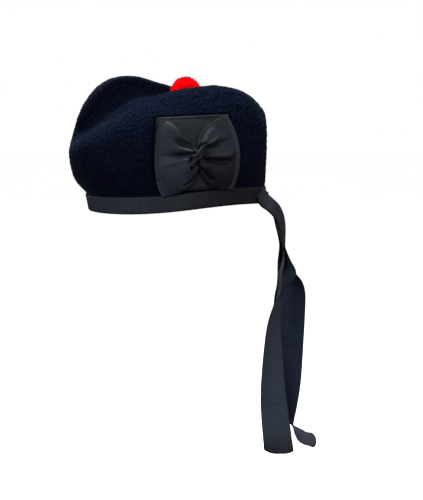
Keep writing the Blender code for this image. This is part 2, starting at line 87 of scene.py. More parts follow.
# %% The crown's sizes
BINDING_HEIGHT = 0.019
FOLD_ROOM = 0.0009
RIM_RISE = 0.009
CROWN_HEIGHT = 0.155
BROW_OVERHANG = 0.0230
NAPE_OVERHANG = 0.0018
BROW_LEAN = 0.0036
LEAN_PIVOT = 0.25
SIDE_BULGE = 0.006
RIDGE_BROW = 0.0190
RIDGE_NAPE = -0.002
LEFT_SPREAD = 0.057
RIGHT_SPREAD = 0.045
CREASE_BROW_INSET = 0.022
CREASE_NAPE_INSET = 0.016
COLLAR = 0.001
FLOOR_ALONG = 0.45
FLOOR_LEFT = 0.50
FLOOR_RIGHT = 0.60
HOLLOW_DEPTH = 0.018

# %% [markdown]
# ## Curves through a few chosen places
# A soft form needs only a few sections: a curve fills in the rest. Two kinds are used here. One goes
# through every value that it is given, which suits a ribbon's path. The other, the B-spline, is
# drawn towards its values without touching them, which is how felt rounds over an edge.

# %% Named columns and a curve through them
def column(table, names, name):
    """One named column of a table, as an array."""
    return np.array([row[names.index(name)] for row in table], float)


def smooth_line(values, places):
    """A curve through evenly numbered values: between two of them, the cubic whose slope at each is
    half the step from the value before it to the value after it."""
    values = np.asarray(values, float)
    padded = np.concatenate([2 * values[:1] - values[1:2], values, 2 * values[-1:] - values[-2:-1]])
    first = np.clip(np.floor(places).astype(int), 0, len(values) - 2)
    share = np.asarray(places) - first
    if values.ndim > 1:
        share = share[:, None]
    before, start, end, after = (padded[first + step] for step in range(4))
    return (
        (2 * share**3 - 3 * share**2 + 1) * start
        + (share**3 - 2 * share**2 + share) * (end - before) / 2
        + (3 * share**2 - 2 * share**3) * end
        + (share**3 - share**2) * (after - start) / 2
    )


# %% The B-spline and its surface
def spline_weights(share):
    """What four neighbours weigh at a share t of the span between the middle two: the cubics
    (1-t)^3, 3t^3-6t^2+4, -3t^3+3t^2+3t+1 and t^3, each over 6."""
    t = np.asarray(share, float)
    cubics = [(1 - t) ** 3, 3 * t**3 - 6 * t**2 + 4, -3 * t**3 + 3 * t**2 + 3 * t + 1, t**3]
    return np.stack(cubics, axis=-1) / 6


def on_cage(cage, rings, columns):
    """Points of the smooth surface of a cage of rings: each is the mean of sixteen cage points round
    it, weighed by the B-spline up the rings and round the columns. The cage has one spare ring
    before its first and one after its last."""
    first_ring = np.clip(np.floor(rings).astype(int), 0, len(cage) - 4)
    first_column = np.floor(columns).astype(int)
    up = spline_weights(rings - first_ring)
    around = spline_weights(columns - first_column)
    total = 0.0
    for i in range(4):
        for j in range(4):
            corner = cage[first_ring + i, (first_column + j - 1) % cage.shape[1]]
            total = total + (up[..., i] * around[..., j])[..., None] * corner
    return total


# %% Directions and lengths
def unit(vectors):
    """The same directions, each one long."""
    return vectors / np.linalg.norm(vectors, axis=-1, keepdims=True)


def lengths_along(points):
    """How far along a line each of its points lies: the sum of the steps before it."""
    steps = np.linalg.norm(np.diff(points, axis=0), axis=-1)
    return np.concatenate([[0], np.cumsum(steps)])


def spokes(first, second, count):
    """Vectors at even turns in the plane of two: at a turn t, first cos t + second sin t."""
    turn = 2 * math.pi * np.arange(count) / count
    return np.cos(turn)[:, None] * first[:, None] + np.sin(turn)[:, None] * second[:, None]


def leaning(along, up, lean):
    """Lengths along and up after a turn by an angle, as mixes by its cosine and sine."""
    cos, sin = math.cos(lean), math.sin(lean)
    return along * cos - up * sin, along * sin + up * cos


# %% Soft steps
def ramp(value, start, end):
    """0 at the start, 1 at the end, and 3t^2 - 2t^3 at a share t of the way between them."""
    t = np.clip((value - start) / (end - start), 0, 1)
    return t * t * (3 - 2 * t)


def plateau(value, start, rise, fall, end):
    """0 at the start, 1 from the rise to the fall, and 0 again at the end."""
    return ramp(value, start, rise) * ramp(value, end, fall)


def bell(away, spread):
    """1 at no distance, and e to the minus (away / spread)^2 further off."""
    return np.exp(-((away / spread) ** 2))


# %% [markdown]
# ## The crown's cage
# The real crown is knitted, felted and blocked in one piece, then creased from brow to nape. It could
# be sculpted, or simulated as cloth. Here nine cross sections give the heights of its rim, its belly,
# its two ridges and the crease, because a short table of heights is easy to compare with a picture.

# %% Cross sections of the cap
# Heights at angles from the brow, 0, to the nape, 180. The rim's is a share of RIM_RISE, the far
# hollow's of HOLLOW_DEPTH, the others of CROWN_HEIGHT. Left and right are the wearer's.
STATION_COLUMNS = (
    "angle", "rim", "belly", "left_ridge", "left_floor", "crease", "right_floor", "right_ridge",
    "far_hollow",
)
STATIONS = (
    (0.0, -0.42, 0.380, 0.520, 0.525, 0.530, 0.525, 0.520, 0.0),
    (22.5, -0.45, 0.380, 0.530, 0.495, 0.515, 0.560, 0.785, 0.8),
    (45.0, -0.50, 0.375, 0.618, 0.575, 0.625, 0.715, 0.992, 1.0),
    (67.5, -0.40, 0.370, 0.775, 0.725, 0.770, 0.850, 1.012, 1.0),
    (90.0, -0.05, 0.365, 0.865, 0.788, 0.742, 0.808, 0.912, 0.8),
    (112.5, 0.45, 0.370, 0.916, 0.780, 0.716, 0.760, 0.872, 0.5),
    (135.0, 0.70, 0.370, 0.885, 0.775, 0.715, 0.745, 0.840, 0.2),
    (157.5, 0.62, 0.370, 0.795, 0.735, 0.695, 0.720, 0.775, 0.0),
    (180.0, 0.55, 0.370, 0.715, 0.700, 0.685, 0.700, 0.715, 0.0),
)

# %% Rings from the collar to the crease
# How far each ring has come, in height and in plan, along collar 0, belly 1, ridge 2, floor 3, crease 4
RING_COLUMNS = ("up", "brow", "nape", "left", "right")
RINGS = (
    (0.00, 0.00, 0.00, 0.00, 0.00),
    (0.05, 0.02, 0.02, 0.02, 0.02),
    (0.30, 0.68, 0.85, 0.55, 0.55),
    (1.00, 1.00, 1.00, 1.00, 1.00),
    (1.52, 1.12, 1.20, 1.13, 1.24),
    (1.88, 1.55, 1.55, 1.62, 1.62),
    (2.00, 2.00, 2.00, 2.00, 2.00),
    (2.22, 2.40, 2.40, 2.18, 2.62),
    (3.00, 3.00, 3.00, 3.00, 3.00),
    (4.00, 4.00, 4.00, 4.00, 4.00),
)


# %% Rings round the cap
def blend(knots, place):
    """The value at a place along the knots: 0 is the first, 1 the second, and fractions lie between."""
    first = min(int(place), len(knots) - 2)
    return (1 - place + first) * knots[first] + (place - first) * knots[first + 1]


def around(left, right):
    """Values at each of the cage's columns, once round from the brow by the wearer's left."""
    looped = np.concatenate([left, right[-2:0:-1]])
    looped = np.concatenate([looped[-3:], looped, looped[:4]])
    return smooth_line(looped, 3 + np.arange(COLUMNS) * 2 * (len(left) - 1) / COLUMNS)


def ring(brow, nape, left, right, height):
    """One closed ring: an oval in plan whose four reaches differ, at a height for each column."""
    turn = 2 * math.pi * np.arange(COLUMNS) / COLUMNS
    along = -np.where(np.cos(turn) > 0, brow, nape) * np.cos(turn)
    side = -np.where(np.sin(turn) > 0, left, right) * np.sin(turn)
    return np.column_stack([along, side, height * np.ones(COLUMNS)])


rim_line = RIM_RISE * around(*[column(STATIONS, STATION_COLUMNS, "rim")] * 2)


def brow_reach(up):
    """The felt's reach at the brow, which leans forward, at a height above the rim."""
    return HALF_LENGTH + BROW_LEAN * (up / BINDING_HEIGHT - LEAN_PIVOT)


def rim_ring(outward, up):
    """A ring at a distance out from the felt's outer face, at a height above the rim."""
    length, width = HALF_LENGTH + outward, HALF_WIDTH + outward
    return ring(brow_reach(up) + outward, length, width, width, rim_line + up)


# %% The cage of the crown
def heights(left, right):
    """Heights round the cap, read from two columns of the cross sections."""
    left_side = column(STATIONS, STATION_COLUMNS, left)
    return CROWN_HEIGHT * around(left_side, column(STATIONS, STATION_COLUMNS, right))


def level_out(points):
    """Level unit vectors that point out of a ring, square to its plan."""
    ahead = np.roll(points, -1, axis=0) - np.roll(points, 1, axis=0)
    out = np.column_stack([-ahead[:, 1], ahead[:, 0], np.zeros(len(points))])
    return unit(out * np.sign((out * points).sum(axis=1, keepdims=True)))


def crown_cage():
    """The crown's rings from the felt's lower edge to the crease, with a spare one at each end. At the
    rim the spare one continues the slope, and past the crease it is the other side's last ring."""
    collar = BINDING_HEIGHT + COLLAR
    up = (
        rim_line + collar,
        heights("belly", "belly"),
        heights("left_ridge", "right_ridge"),
        heights("left_floor", "right_floor"),
        heights("crease", "crease"),
    )
    brow = HALF_LENGTH + RIDGE_BROW
    nape = HALF_LENGTH + RIDGE_NAPE
    plan = {
        "brow": (brow_reach(collar), HALF_LENGTH + BROW_OVERHANG, brow,
                 brow - FLOOR_ALONG * CREASE_BROW_INSET, brow - CREASE_BROW_INSET),
        "nape": (HALF_LENGTH, HALF_LENGTH + NAPE_OVERHANG, nape,
                 nape - FLOOR_ALONG * CREASE_NAPE_INSET, nape - CREASE_NAPE_INSET),
        "left": (HALF_WIDTH, HALF_WIDTH + SIDE_BULGE, LEFT_SPREAD, FLOOR_LEFT * LEFT_SPREAD, 0.0),
        "right": (HALF_WIDTH, HALF_WIDTH + SIDE_BULGE, RIGHT_SPREAD, FLOOR_RIGHT * RIGHT_SPREAD, 0.0),
    }
    rings = [rim_ring(0, RIBBON + FOLD_ROOM + GAP)]
    for row in RINGS:
        places = dict(zip(RING_COLUMNS, row))
        reaches = [blend(plan[side], places[side]) for side in ("brow", "nape", "left", "right")]
        rings.append(ring(*reaches, blend(up, places["up"])))
    hollow = column(STATIONS, STATION_COLUMNS, "far_hollow")
    rings[-2] += HOLLOW_DEPTH * around(0 * hollow, hollow)[:, None] * level_out(rings[-4])
    below_rim = 2 * rings[0] - rings[1]
    past_crease = rings[-2][-np.arange(COLUMNS) % COLUMNS]
    return np.array([below_rim, *rings, past_crease])


cage = crown_cage()
CREASE_RING = len(cage) - 3.0
print("the crown's cage:", cage.shape[0] - 2, "rings of", cage.shape[1], "points")

# %% [markdown]
# ## Meshes from grids
# Blender takes a mesh as flat lists of points and of corners, so a grid of points goes in with a few
# array calls, which is much faster than adding faces one at a time. A ribbon also gets a UV map in
# metres, so that its weave follows it wherever it turns.

# %% From arrays to a mesh
def mesh_of(name, points, quads, finish, triangles=()):
    """A mesh object from points and the point numbers of its faces, put in with foreach_set."""
    triangles = np.asarray(triangles, int).reshape(-1, 3)
    corners = np.concatenate([quads.reshape(-1), triangles.reshape(-1)]).astype(np.int32)
    starts = np.concatenate([
        4 * np.arange(len(quads)), 4 * len(quads) + 3 * np.arange(len(triangles)),
    ]).astype(np.int32)
    mesh = bpy.data.meshes.new(name)
    mesh.vertices.add(len(points))
    mesh.vertices.foreach_set("co", np.asarray(points, np.float32).ravel())
    mesh.loops.add(len(corners))
    mesh.loops.foreach_set("vertex_index", corners)
    mesh.polygons.add(len(starts))
    mesh.polygons.foreach_set("loop_start", starts)
    mesh.update(calc_edges=True)
    mesh.polygons.foreach_set("use_smooth", np.full(len(starts), True))
    mesh.materials.append(finish)
    piece = bpy.data.objects.new(name, mesh)
    bpy.context.scene.collection.objects.link(piece)
    return piece


def grid_quads(rows, columns, loop_rows=False, loop_columns=False):
    """The corners of a grid's faces: each point with the next in its row and in its column. A looped
    grid joins its last row or column to its first."""
    number = np.arange(rows * columns).reshape(rows, columns)
    if loop_rows:
        number = np.concatenate([number, number[:1]])
    if loop_columns:
        number = np.concatenate([number, number[:, :1]], axis=1)
    corners = [number[:-1, :-1], number[:-1, 1:], number[1:, 1:], number[1:, :-1]]
    return np.stack(corners, axis=-1).reshape(-1, 4)


def repeated(faces, count, size):
    """The faces of one shape of size points, numbered on for each of many copies."""
    first = size * np.arange(count)
    return (first[:, None, None] + faces).reshape(-1, faces.shape[1])


# %% Facing outwards
def grid_normals(grid, looped=False):
    """Unit vectors square to a grid's surface: the step along the rows crossed with the step along the
    columns."""
    if looped:
        across = np.roll(grid, -1, axis=1) - np.roll(grid, 1, axis=1)
    else:
        across = np.gradient(grid, axis=1)
    normals = np.cross(across, np.gradient(grid, axis=0))
    return normals / np.maximum(np.linalg.norm(normals, axis=-1, keepdims=True), 1e-12)


def volume_of(points, quads):
    """The room inside a closed mesh: a sixth of the sum, over its triangles, of one corner dotted with
    the cross product of the other two. It is below zero where the faces point inwards."""
    a, b, c, d = (points[quads[:, i]] for i in range(4))
    return (np.cross(b, c) * a).sum() / 6 + (np.cross(c, d) * a).sum() / 6


def set_mask(piece, name, values):
    """Keeps a value for each point of a piece, from 0 to 1, for its material to read."""
    kept = piece.data.attributes.new(name, "FLOAT", "POINT")
    kept.data.foreach_set("value", np.asarray(values, np.float32).ravel())


def closed_piece(name, points, quads, finish, weld=0.0, **masks):
    """A closed mesh whose faces point outwards, with its masks, and with points nearer than weld made
    one."""
    if volume_of(points, quads) < 0:
        quads = quads[:, ::-1]
    piece = mesh_of(name, points, quads, finish)
    for mask, values in masks.items():
        set_mask(piece, mask, values)
    if weld:
        shape = bmesh.new()
        shape.from_mesh(piece.data)
        bmesh.ops.remove_doubles(shape, verts=shape.verts, dist=weld)
        shape.to_mesh(piece.data)
        shape.free()
        piece.data.shade_smooth()
    return piece


# %% A ribbon from a grid
def lay_uv(piece, flat):
    """A ribbon's own lengths across and along it, at each of the piece's points, as its UV map."""
    corner = np.empty(len(piece.data.loops), np.int32)
    piece.data.loops.foreach_get("vertex_index", corner)
    layer = piece.data.uv_layers.new(name="Ribbon")
    layer.data.foreach_set("uv", flat[corner].astype(np.float32).ravel())


def ribbon_piece(name, face, outward, thickness, finish, across, along, **masks):
    """A ribbon whose outer face is a grid, with a wall behind it. outward holds a vector for each
    point, on the side that the face looks to. across and along are the ribbon's own lengths at its
    columns and rows. A mask holds a value for each point."""
    if (grid_normals(face) * outward).sum() < 0:
        face, across = face[:, ::-1], across[::-1]
        masks = {mask: values[:, ::-1] for mask, values in masks.items()}
    piece = mesh_of(name, face.reshape(-1, 3), grid_quads(*face.shape[:2]), finish)
    lay_uv(piece, np.stack(np.meshgrid(across, along), axis=-1).reshape(-1, 2))
    wall = piece.modifiers.new("Ribbon", "SOLIDIFY")
    wall.thickness = thickness
    wall.offset = -1
    wall.use_even_offset = False
    for mask, values in masks.items():
        set_mask(piece, mask, values)
    return piece


def vertices_of(piece):
    """A piece's points as an array with a row for each."""
    points = np.empty(3 * len(piece.data.vertices), np.float32)
    piece.data.vertices.foreach_get("co", points)
    return points.reshape(-1, 3)


def join_to_frame(piece, slot, *nodes):
    """The piece rides on the cap's one body and stands for its nodes. Its slot is not used."""
    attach(piece, "root")
    if nodes:
        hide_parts(*nodes)
    print(f"{piece.name}: {len(piece.data.polygons)} faces before modifiers")


# %% Smooth random heights
def soft_waves(points, shortest, longest, count, seed):
    """A smooth random height at each point, mostly from -1 to 1: the sum of sines whose directions,
    lengths and starts are drawn once from a seed."""
    draw = np.random.default_rng(seed)
    axes = unit(draw.normal(size=(count, 3)))
    lengths = np.exp(draw.uniform(math.log(shortest), math.log(longest), count))
    starts = draw.uniform(0, 2 * math.pi, count)
    total = np.zeros(points.shape[:-1])
    for axis, length, start in zip(axes, lengths, starts):
        total += np.sin(points @ axis * (2 * math.pi / length) + start)
    return total / math.sqrt(count)


# %% [markdown]
# ## Materials
# Felt, ribbed ribbon, smooth ribbon and clipped wool differ in their grain and their sheen. Each could
# have a picture of its weave, but nodes keep their detail at any distance. What several finishes
# share, such as their mottling, lint and threads, is made once as a node group.

# %% Helpers for nodes
def node(tree, kind, inputs=None, **settings):
    """A node of a kind. Each input is set to a value, or joined to a socket."""
    made = tree.nodes.new("ShaderNode" + kind)
    for name, value in settings.items():
        setattr(made, name, value)
    for name, value in (inputs or {}).items():
        if isinstance(value, bpy.types.NodeSocket):
            tree.links.new(value, made.inputs[name])
        else:
            made.inputs[name].default_value = value
    return made


def new_group(name, inputs, outputs):
    """An empty node group. Its inputs are floats, or a vector where no value is given, and its outputs
    are floats. With it come the sockets that bring its inputs in and take its outputs away."""
    group = bpy.data.node_groups.new(name, "ShaderNodeTree")
    for label, value in inputs.items():
        kind = "NodeSocketVector" if value is None else "NodeSocketFloat"
        socket = group.interface.new_socket(label, in_out="INPUT", socket_type=kind)
        if value is not None:
            socket.default_value = value
    for label in outputs:
        group.interface.new_socket(label, in_out="OUTPUT", socket_type="NodeSocketFloat")
    given, made = group.nodes.new("NodeGroupInput"), group.nodes.new("NodeGroupOutput")
    print("node group:", name)
    return group, given.outputs, made.inputs


def use_group(tree, group, **inputs):
    """What a group puts out in a material, from its own values there."""
    values = {label.replace("_", " "): value for label, value in inputs.items()}
    return node(tree, "Group", values, node_tree=group).outputs


def new_finish(name, **constants):
    """A material with its shader, whose even qualities are set on its own sockets."""
    finish = bpy.data.materials.new(name)
    finish.use_nodes = True
    shader = finish.node_tree.nodes["Principled BSDF"]
    for label, value in constants.items():
        shader.inputs[label.replace("_", " ")].default_value = value
    print("finish:", name)
    return finish, finish.node_tree, shader


# %% The nodes that come most often
def calculate(tree, operation, *values, clamp=False):
    """What a Math node makes of one to three values."""
    return node(tree, "Math", dict(enumerate(values)), operation=operation, use_clamp=clamp).outputs[0]


def remap(tree, value, start, end, low=0.0, high=1.0):
    """Low up to the start, high from the end on, and evenly between them."""
    ends = {"Value": value, "From Min": start, "From Max": end, "To Min": low, "To Max": high}
    return node(tree, "MapRange", ends).outputs[0]


def mask_on(tree, name):
    """A mask that the piece keeps at its points."""
    return node(tree, "Attribute", attribute_name=name).outputs["Fac"]


def place_on(tree):
    """Where on the piece it is, in metres."""
    return node(tree, "TexCoord").outputs["Object"]


def parts_of(tree, vector):
    """A vector's three parts, named X, Y and Z."""
    return node(tree, "SeparateXYZ", {"Vector": vector}).outputs


# %% Colour and relief
def mix_colours(tree, factor, first, second, blend="MIX"):
    """A colour between two. The Mix node's colour sockets are numbered 6 and 7, and its result 2."""
    colours = {0: factor, 6: first, 7: second}
    return node(tree, "Mix", colours, data_type="RGBA", blend_type=blend).outputs[2]


def tinted(tree, factor, colour, tint):
    """A colour multiplied by a tint as far as a factor says."""
    return mix_colours(tree, factor, colour, tint, "MULTIPLY")


def bump(tree, height, distance, under=None):
    """Normals tilted by a height from 0 to 1, where 1 stands a distance proud, over other bumps."""
    inputs = {"Height": height, "Distance": distance}
    if under is not None:
        inputs["Normal"] = under
    return node(tree, "Bump", inputs).outputs["Normal"]


def paint(tree, shader, colour, normal=None):
    """Joins a colour to the shader, and a relief where there is one."""
    tree.links.new(colour, shader.inputs["Base Color"])
    if normal is not None:
        tree.links.new(normal, shader.inputs["Normal"])


# %% Mottling: cloudy changes of shade at two scales
mottle, given, made = new_group(
    "Mottling", {"Vector": None, "Cloud Scale": 20.0, "Grain Scale": 400.0}, ("Clouds", "Grain"),
)
for label, scale, roughness in (("Clouds", "Cloud Scale", 0.5), ("Grain", "Grain Scale", 0.6)):
    noise = node(mottle, "TexNoise", {
        "Vector": given["Vector"], "Scale": given[scale], "Detail": 3.0, "Roughness": roughness,
    })
    mottle.links.new(noise.outputs["Fac"], made[label])


# %% Lint: sparse pale specks that dark cloth picks up
LINT_RARITY = 0.985

lint, given, made = new_group("Lint", {"Vector": None, "Scale": 300.0, "Size": 0.12}, ("Mask",))
specks = node(lint, "TexVoronoi", {"Vector": given["Vector"], "Scale": given["Scale"]}).outputs
near = calculate(lint, "GREATER_THAN", given["Size"], specks["Distance"])
chance = node(lint, "SeparateColor", {"Color": specks["Color"]}).outputs["Red"]
picked = calculate(lint, "GREATER_THAN", chance, LINT_RARITY)
lint.links.new(calculate(lint, "MULTIPLY", near, picked), made["Mask"])

# %% Painted light and shade: a region further back than one place and lower than another
painted_region, given, made = new_group(
    "Painted Light And Shade Region", {"Vector": None, "From": 0.0, "To": 0.05, "Top": 0.03, "Low": 0.02}, ("Mask",),
)
parts = parts_of(painted_region, given["Vector"])
backwards = remap(painted_region, parts["X"], given["From"], given["To"])
downwards = remap(painted_region, parts["Z"], given["Top"], given["Low"])
painted_region.links.new(calculate(painted_region, "MULTIPLY", backwards, downwards), made["Mask"])

# %% Threads: a ribbon's fine ribs across it, and the warp threads along it
WARP_SHARE = 0.35
STREAKS_ACROSS = (1.0, 20.0, 1.0)

threads, given, made = new_group(
    "Threads", {"Vector": None, "Rib Pitch": 0.0012, "Warp Pitch": 0.0005, "Streak Scale": 28.0},
    ("Height", "Shade"),
)
parts = parts_of(threads, given["Vector"])


def thread_wave(tree, length, pitch):
    """A smooth wave from 0 to 1 that repeats every pitch along a length: half of 1 plus a cosine."""
    angle = calculate(tree, "MULTIPLY", calculate(tree, "DIVIDE", length, pitch), 2 * math.pi)
    return calculate(tree, "MULTIPLY_ADD", calculate(tree, "COSINE", angle), 0.5, 0.5)


ribs = thread_wave(threads, parts["Y"], given["Rib Pitch"])
warp = thread_wave(threads, parts["X"], given["Warp Pitch"])
threads.links.new(calculate(threads, "MULTIPLY_ADD", warp, WARP_SHARE, ribs), made["Height"])
stretched = node(threads, "VectorMath", {0: given["Vector"], 1: STREAKS_ACROSS}, operation="MULTIPLY")
uneven = node(threads, "TexNoise", {
    "Vector": stretched.outputs[0], "Scale": given["Streak Scale"], "Detail": 2.0,
})
threads.links.new(uneven.outputs["Fac"], made["Shade"])

# %% [markdown]
# ## Felt
# Milled wool felt is a mat of crimped fibres: very dark navy, dull, a little bluer where its nap
# catches the light, and finely pebbled. It could be a flat colour with a sheen, but the eye reads felt
# by its grain, so noise at three scales feeds the colour and the bump. Light is painted into the colour
# as well: bluer and lighter towards the top, plum-dark low down. Masks kept at the crown's points say
# where a highlight is painted paler, and where a shadow is painted dark along a seam.

# %% The felt's material
FELT_DARK = (0.0018, 0.0022, 0.0062, 1)
# The blue colour is also the painted top light, and the plum colour the painted low shade, of the
# felt's height gradient
FELT_BLUE = (0.0056, 0.0098, 0.0222, 1)
FELT_PAINTED_LOW_SHADE = (0.0054, 0.0054, 0.0158, 1)
FELT_PAINTED_HIGHLIGHT = (2.3, 2.1, 1.8, 1)
LINT_COLOUR = (0.10, 0.12, 0.17, 1)
PAINTED_SHADE_COLOUR = (0.0012, 0.0012, 0.0022, 1)
PAINTED_SHADE_BELOW = 0.035
PAINTED_LIGHT_ABOVE = 0.110
CLOUD_STRENGTH = 0.35
CLOUD_RANGE = (0.3, 0.7)
GRAIN_RANGE = (0.42, 0.58)

felt, tree, shader = new_finish(
    "felt", Roughness=0.95, Specular_IOR_Level=0.0, Sheen_Weight=0.06, Sheen_Roughness=0.30,
    Sheen_Tint=(0.5, 0.65, 1.0, 1),
)
place = place_on(tree)
mottled = use_group(tree, mottle, Vector=place, Cloud_Scale=26.0, Grain_Scale=540.0)
fibres = node(tree, "TexNoise", {"Vector": place, "Scale": 1500.0, "Detail": 2.0, "Distortion": 1.5})
# Painted light and shade: bluer and lighter towards the top, plum-dark low down
rise = remap(tree, parts_of(tree, place)["Z"], PAINTED_SHADE_BELOW, PAINTED_LIGHT_ABOVE)
clouded = remap(tree, mottled["Clouds"], *CLOUD_RANGE, -CLOUD_STRENGTH, CLOUD_STRENGTH)
colour = mix_colours(tree, calculate(tree, "ADD", rise, clouded, clamp=True), FELT_PAINTED_LOW_SHADE, FELT_BLUE)
colour = mix_colours(tree, remap(tree, mottled["Grain"], *GRAIN_RANGE), FELT_DARK, colour)
# Painted highlight: paler on the far ridge's rim and in the near hollow
colour = tinted(tree, mask_on(tree, "Worn"), colour, FELT_PAINTED_HIGHLIGHT)
# Painted shadow: dark on the felt along the cockade's edge
colour = mix_colours(tree, mask_on(tree, "Seam"), colour, PAINTED_SHADE_COLOUR)
specks = use_group(tree, lint, Vector=place, Scale=330.0, Size=0.10)["Mask"]
pebbles = bump(tree, mottled["Grain"], 0.0010)
paint(tree, shader, mix_colours(tree, specks, colour, LINT_COLOUR),
      bump(tree, fibres.outputs["Fac"], 0.00010, pebbles))


# %% [markdown]
# ## Ribbons
# The binding, the patch and the tails are one ribbed ribbon, and the bow is a smoother, softer one.
# Both are near black, and their light comes from a low sheen on the threads. The ribs themselves are
# modelled, so the material adds the fine warp and the uneven dye. Tints multiply the colour where masks
# say: painted shade, browner and darker where less light falls, and painted light, paler where more
# falls.

# %% What the two ribbons share
def dyed_ribbon(tree, dark, light, cloud_scale, shades, clouds, **weave):
    """A ribbon's colour, between a dark and a light one by its threads and then by its clouds, and the
    height of its threads."""
    flat = node(tree, "UVMap", uv_map="Ribbon").outputs["UV"]
    woven = use_group(tree, threads, Vector=flat, **weave)
    mottled = use_group(tree, mottle, Vector=place_on(tree), Cloud_Scale=cloud_scale)
    dyed = mix_colours(tree, remap(tree, woven["Shade"], *shades), dark, light)
    cloud = remap(tree, mottled["Clouds"], *CLOUD_RANGE, *clouds)
    return mix_colours(tree, cloud, dyed, light), woven["Height"]


# %% The ribbed ribbon's material
RIBBON_DARK = (0.0085, 0.0094, 0.0125, 1)
RIBBON_LIGHT = (0.0210, 0.0245, 0.0310, 1)
RIBBON_PAINTED_LIGHT = (1.95, 2.15, 2.50, 1)
RIBBON_PAINTED_BLUE_SHADE = (0.82, 0.97, 1.50, 1)
RIBBON_PAINTED_SHADE = (0.52, 0.36, 0.40, 1)
PAINTED_SHADE_REACH = {"From": 0.005, "To": 0.060, "Top": 0.028, "Low": 0.026}
PAINTED_SHADE_END = (0.104, 0.096)

ribbed, tree, shader = new_finish(
    "ribbed_ribbon", Roughness=0.6, Specular_IOR_Level=0.08, Sheen_Weight=0.012, Sheen_Roughness=0.4,
)
place = place_on(tree)
colour, thread_height = dyed_ribbon(
    tree, RIBBON_DARK, RIBBON_LIGHT, 45.0, (0.3, 0.7), (0.25, 0.75), Rib_Pitch=0.0012,
    Warp_Pitch=0.0006,
)
# Painted shade: browner and darker at the back of the band, low down, where less light falls
low_back_shade = use_group(tree, painted_region, Vector=place, **PAINTED_SHADE_REACH)["Mask"]
low_back_shade = calculate(tree, "MULTIPLY", low_back_shade, remap(tree, parts_of(tree, place)["X"], *PAINTED_SHADE_END))
low_back_shade = calculate(tree, "SUBTRACT", low_back_shade, mask_on(tree, "Tail"), clamp=True)
colour = tinted(tree, low_back_shade, colour, RIBBON_PAINTED_SHADE)
# Painted light: paler on the band's front and where the near tail hangs
colour = tinted(tree, mask_on(tree, "Faded"), colour, RIBBON_PAINTED_LIGHT)
# Painted shade: bluer and darker where the far tail hangs, turned away from the light
colour = tinted(tree, mask_on(tree, "Blued"), colour, RIBBON_PAINTED_BLUE_SHADE)
# Painted shade: dark along the patch's top hem and front edge, and along the tails' edges and ends
colour = mix_colours(tree, mask_on(tree, "Seam"), colour, PAINTED_SHADE_COLOUR)
specks = use_group(tree, lint, Vector=place, Scale=420.0, Size=0.12)["Mask"]
paint(tree, shader, mix_colours(tree, specks, colour, LINT_COLOUR), bump(tree, thread_height, 0.00012))

# %% The bow's material
BOW_DARK = (0.0062, 0.0070, 0.0112, 1)
BOW_LIGHT = (0.0200, 0.0235, 0.0340, 1)
BOW_PAINTED_SHADE = (0.50, 0.38, 0.42, 1)
BOW_PAINTED_SHADE_REACH = {"From": 0.022, "To": 0.036, "Top": 0.068, "Low": 0.054}
BOW_PAINTED_LIGHT = (1.55, 1.62, 1.68, 1)
BOW_PAINTED_LIGHT_REACH = {"From": 0.022, "To": 0.012, "Top": 0.066, "Low": 0.054}
HEM_COLOUR = (0.055, 0.060, 0.080, 1)

smooth_ribbon, tree, shader = new_finish(
    "bow_ribbon", Roughness=0.55, Specular_IOR_Level=0.12, Sheen_Weight=0.01, Sheen_Roughness=0.35,
)
colour, thread_height = dyed_ribbon(
    tree, BOW_DARK, BOW_LIGHT, 60.0, (0.25, 0.75), (0.0, 0.5), Rib_Pitch=0.0007, Warp_Pitch=0.0005,
    Streak_Scale=80.0,
)
# Painted shade, browner and darker, at the bow's lower back, and painted light, paler, at its lower
# front
for reach, tint in ((BOW_PAINTED_SHADE_REACH, BOW_PAINTED_SHADE), (BOW_PAINTED_LIGHT_REACH, BOW_PAINTED_LIGHT)):
    painted = use_group(tree, painted_region, Vector=place_on(tree), **reach)["Mask"]
    colour = tinted(tree, painted, colour, tint)
colour = mix_colours(tree, mask_on(tree, "Hem"), colour, HEM_COLOUR)
# Painted shade: dark in the wings' deep valleys and along their long edges
colour = mix_colours(tree, mask_on(tree, "Seam"), colour, PAINTED_SHADE_COLOUR)
paint(tree, shader, colour, bump(tree, thread_height, 0.00006))

# %% [markdown]
# ## Wool pile and thread
# The toorie is bright red clipped wool. Each strand carries its own shade as an attribute of its
# points, because a texture would colour neighbours alike, and real yarn ends differ one by one. On
# the toorie, that shade is also painted darker in the furrows between its locks.

# %% The pile's, the nap's and the thread's materials
WOOL_DEEP = (0.95, 0.0010, 0.0030, 1)
WOOL_BRIGHT = (1.0, 0.0030, 0.0060, 1)
THREAD_DARK = (0.002, 0.002, 0.003, 1)
THREAD_LIGHT = (0.010, 0.010, 0.013, 1)


def strand_finish(name, dark, bright, **constants):
    """A finish for strands, which lie between two colours by their own shades."""
    finish, tree, shader = new_finish(name, **constants)
    paint(tree, shader, mix_colours(tree, mask_on(tree, "Shade"), dark, bright))
    return finish


wool = strand_finish(
    "toorie_wool", WOOL_DEEP, WOOL_BRIGHT, Roughness=0.85, Specular_IOR_Level=0.0,
    Sheen_Weight=0.30, Sheen_Roughness=0.5, Sheen_Tint=(1.0, 0.004, 0.01, 1),
)
nap_fibre = strand_finish("felt_nap", FELT_DARK, FELT_BLUE, Roughness=0.9, Specular_IOR_Level=0.03)

thread, tree, shader = new_finish("sewing_thread", Roughness=0.6, Specular_IOR_Level=0.1)
grain = use_group(tree, mottle, Vector=place_on(tree), Grain_Scale=1500.0)["Grain"]
paint(tree, shader, mix_colours(tree, grain, THREAD_DARK, THREAD_LIGHT))

# %% [markdown]
# ## The crown
# One felted wall, 2.5 mm thick: up the sides, over the two ridges and down into the crease. A modifier
# could thicken an open sheet, but here the inner face is worked out too, at the felt's thickness behind
# the outer one, so that the crease closes on itself. Shallow dents keep the sides from looking turned.

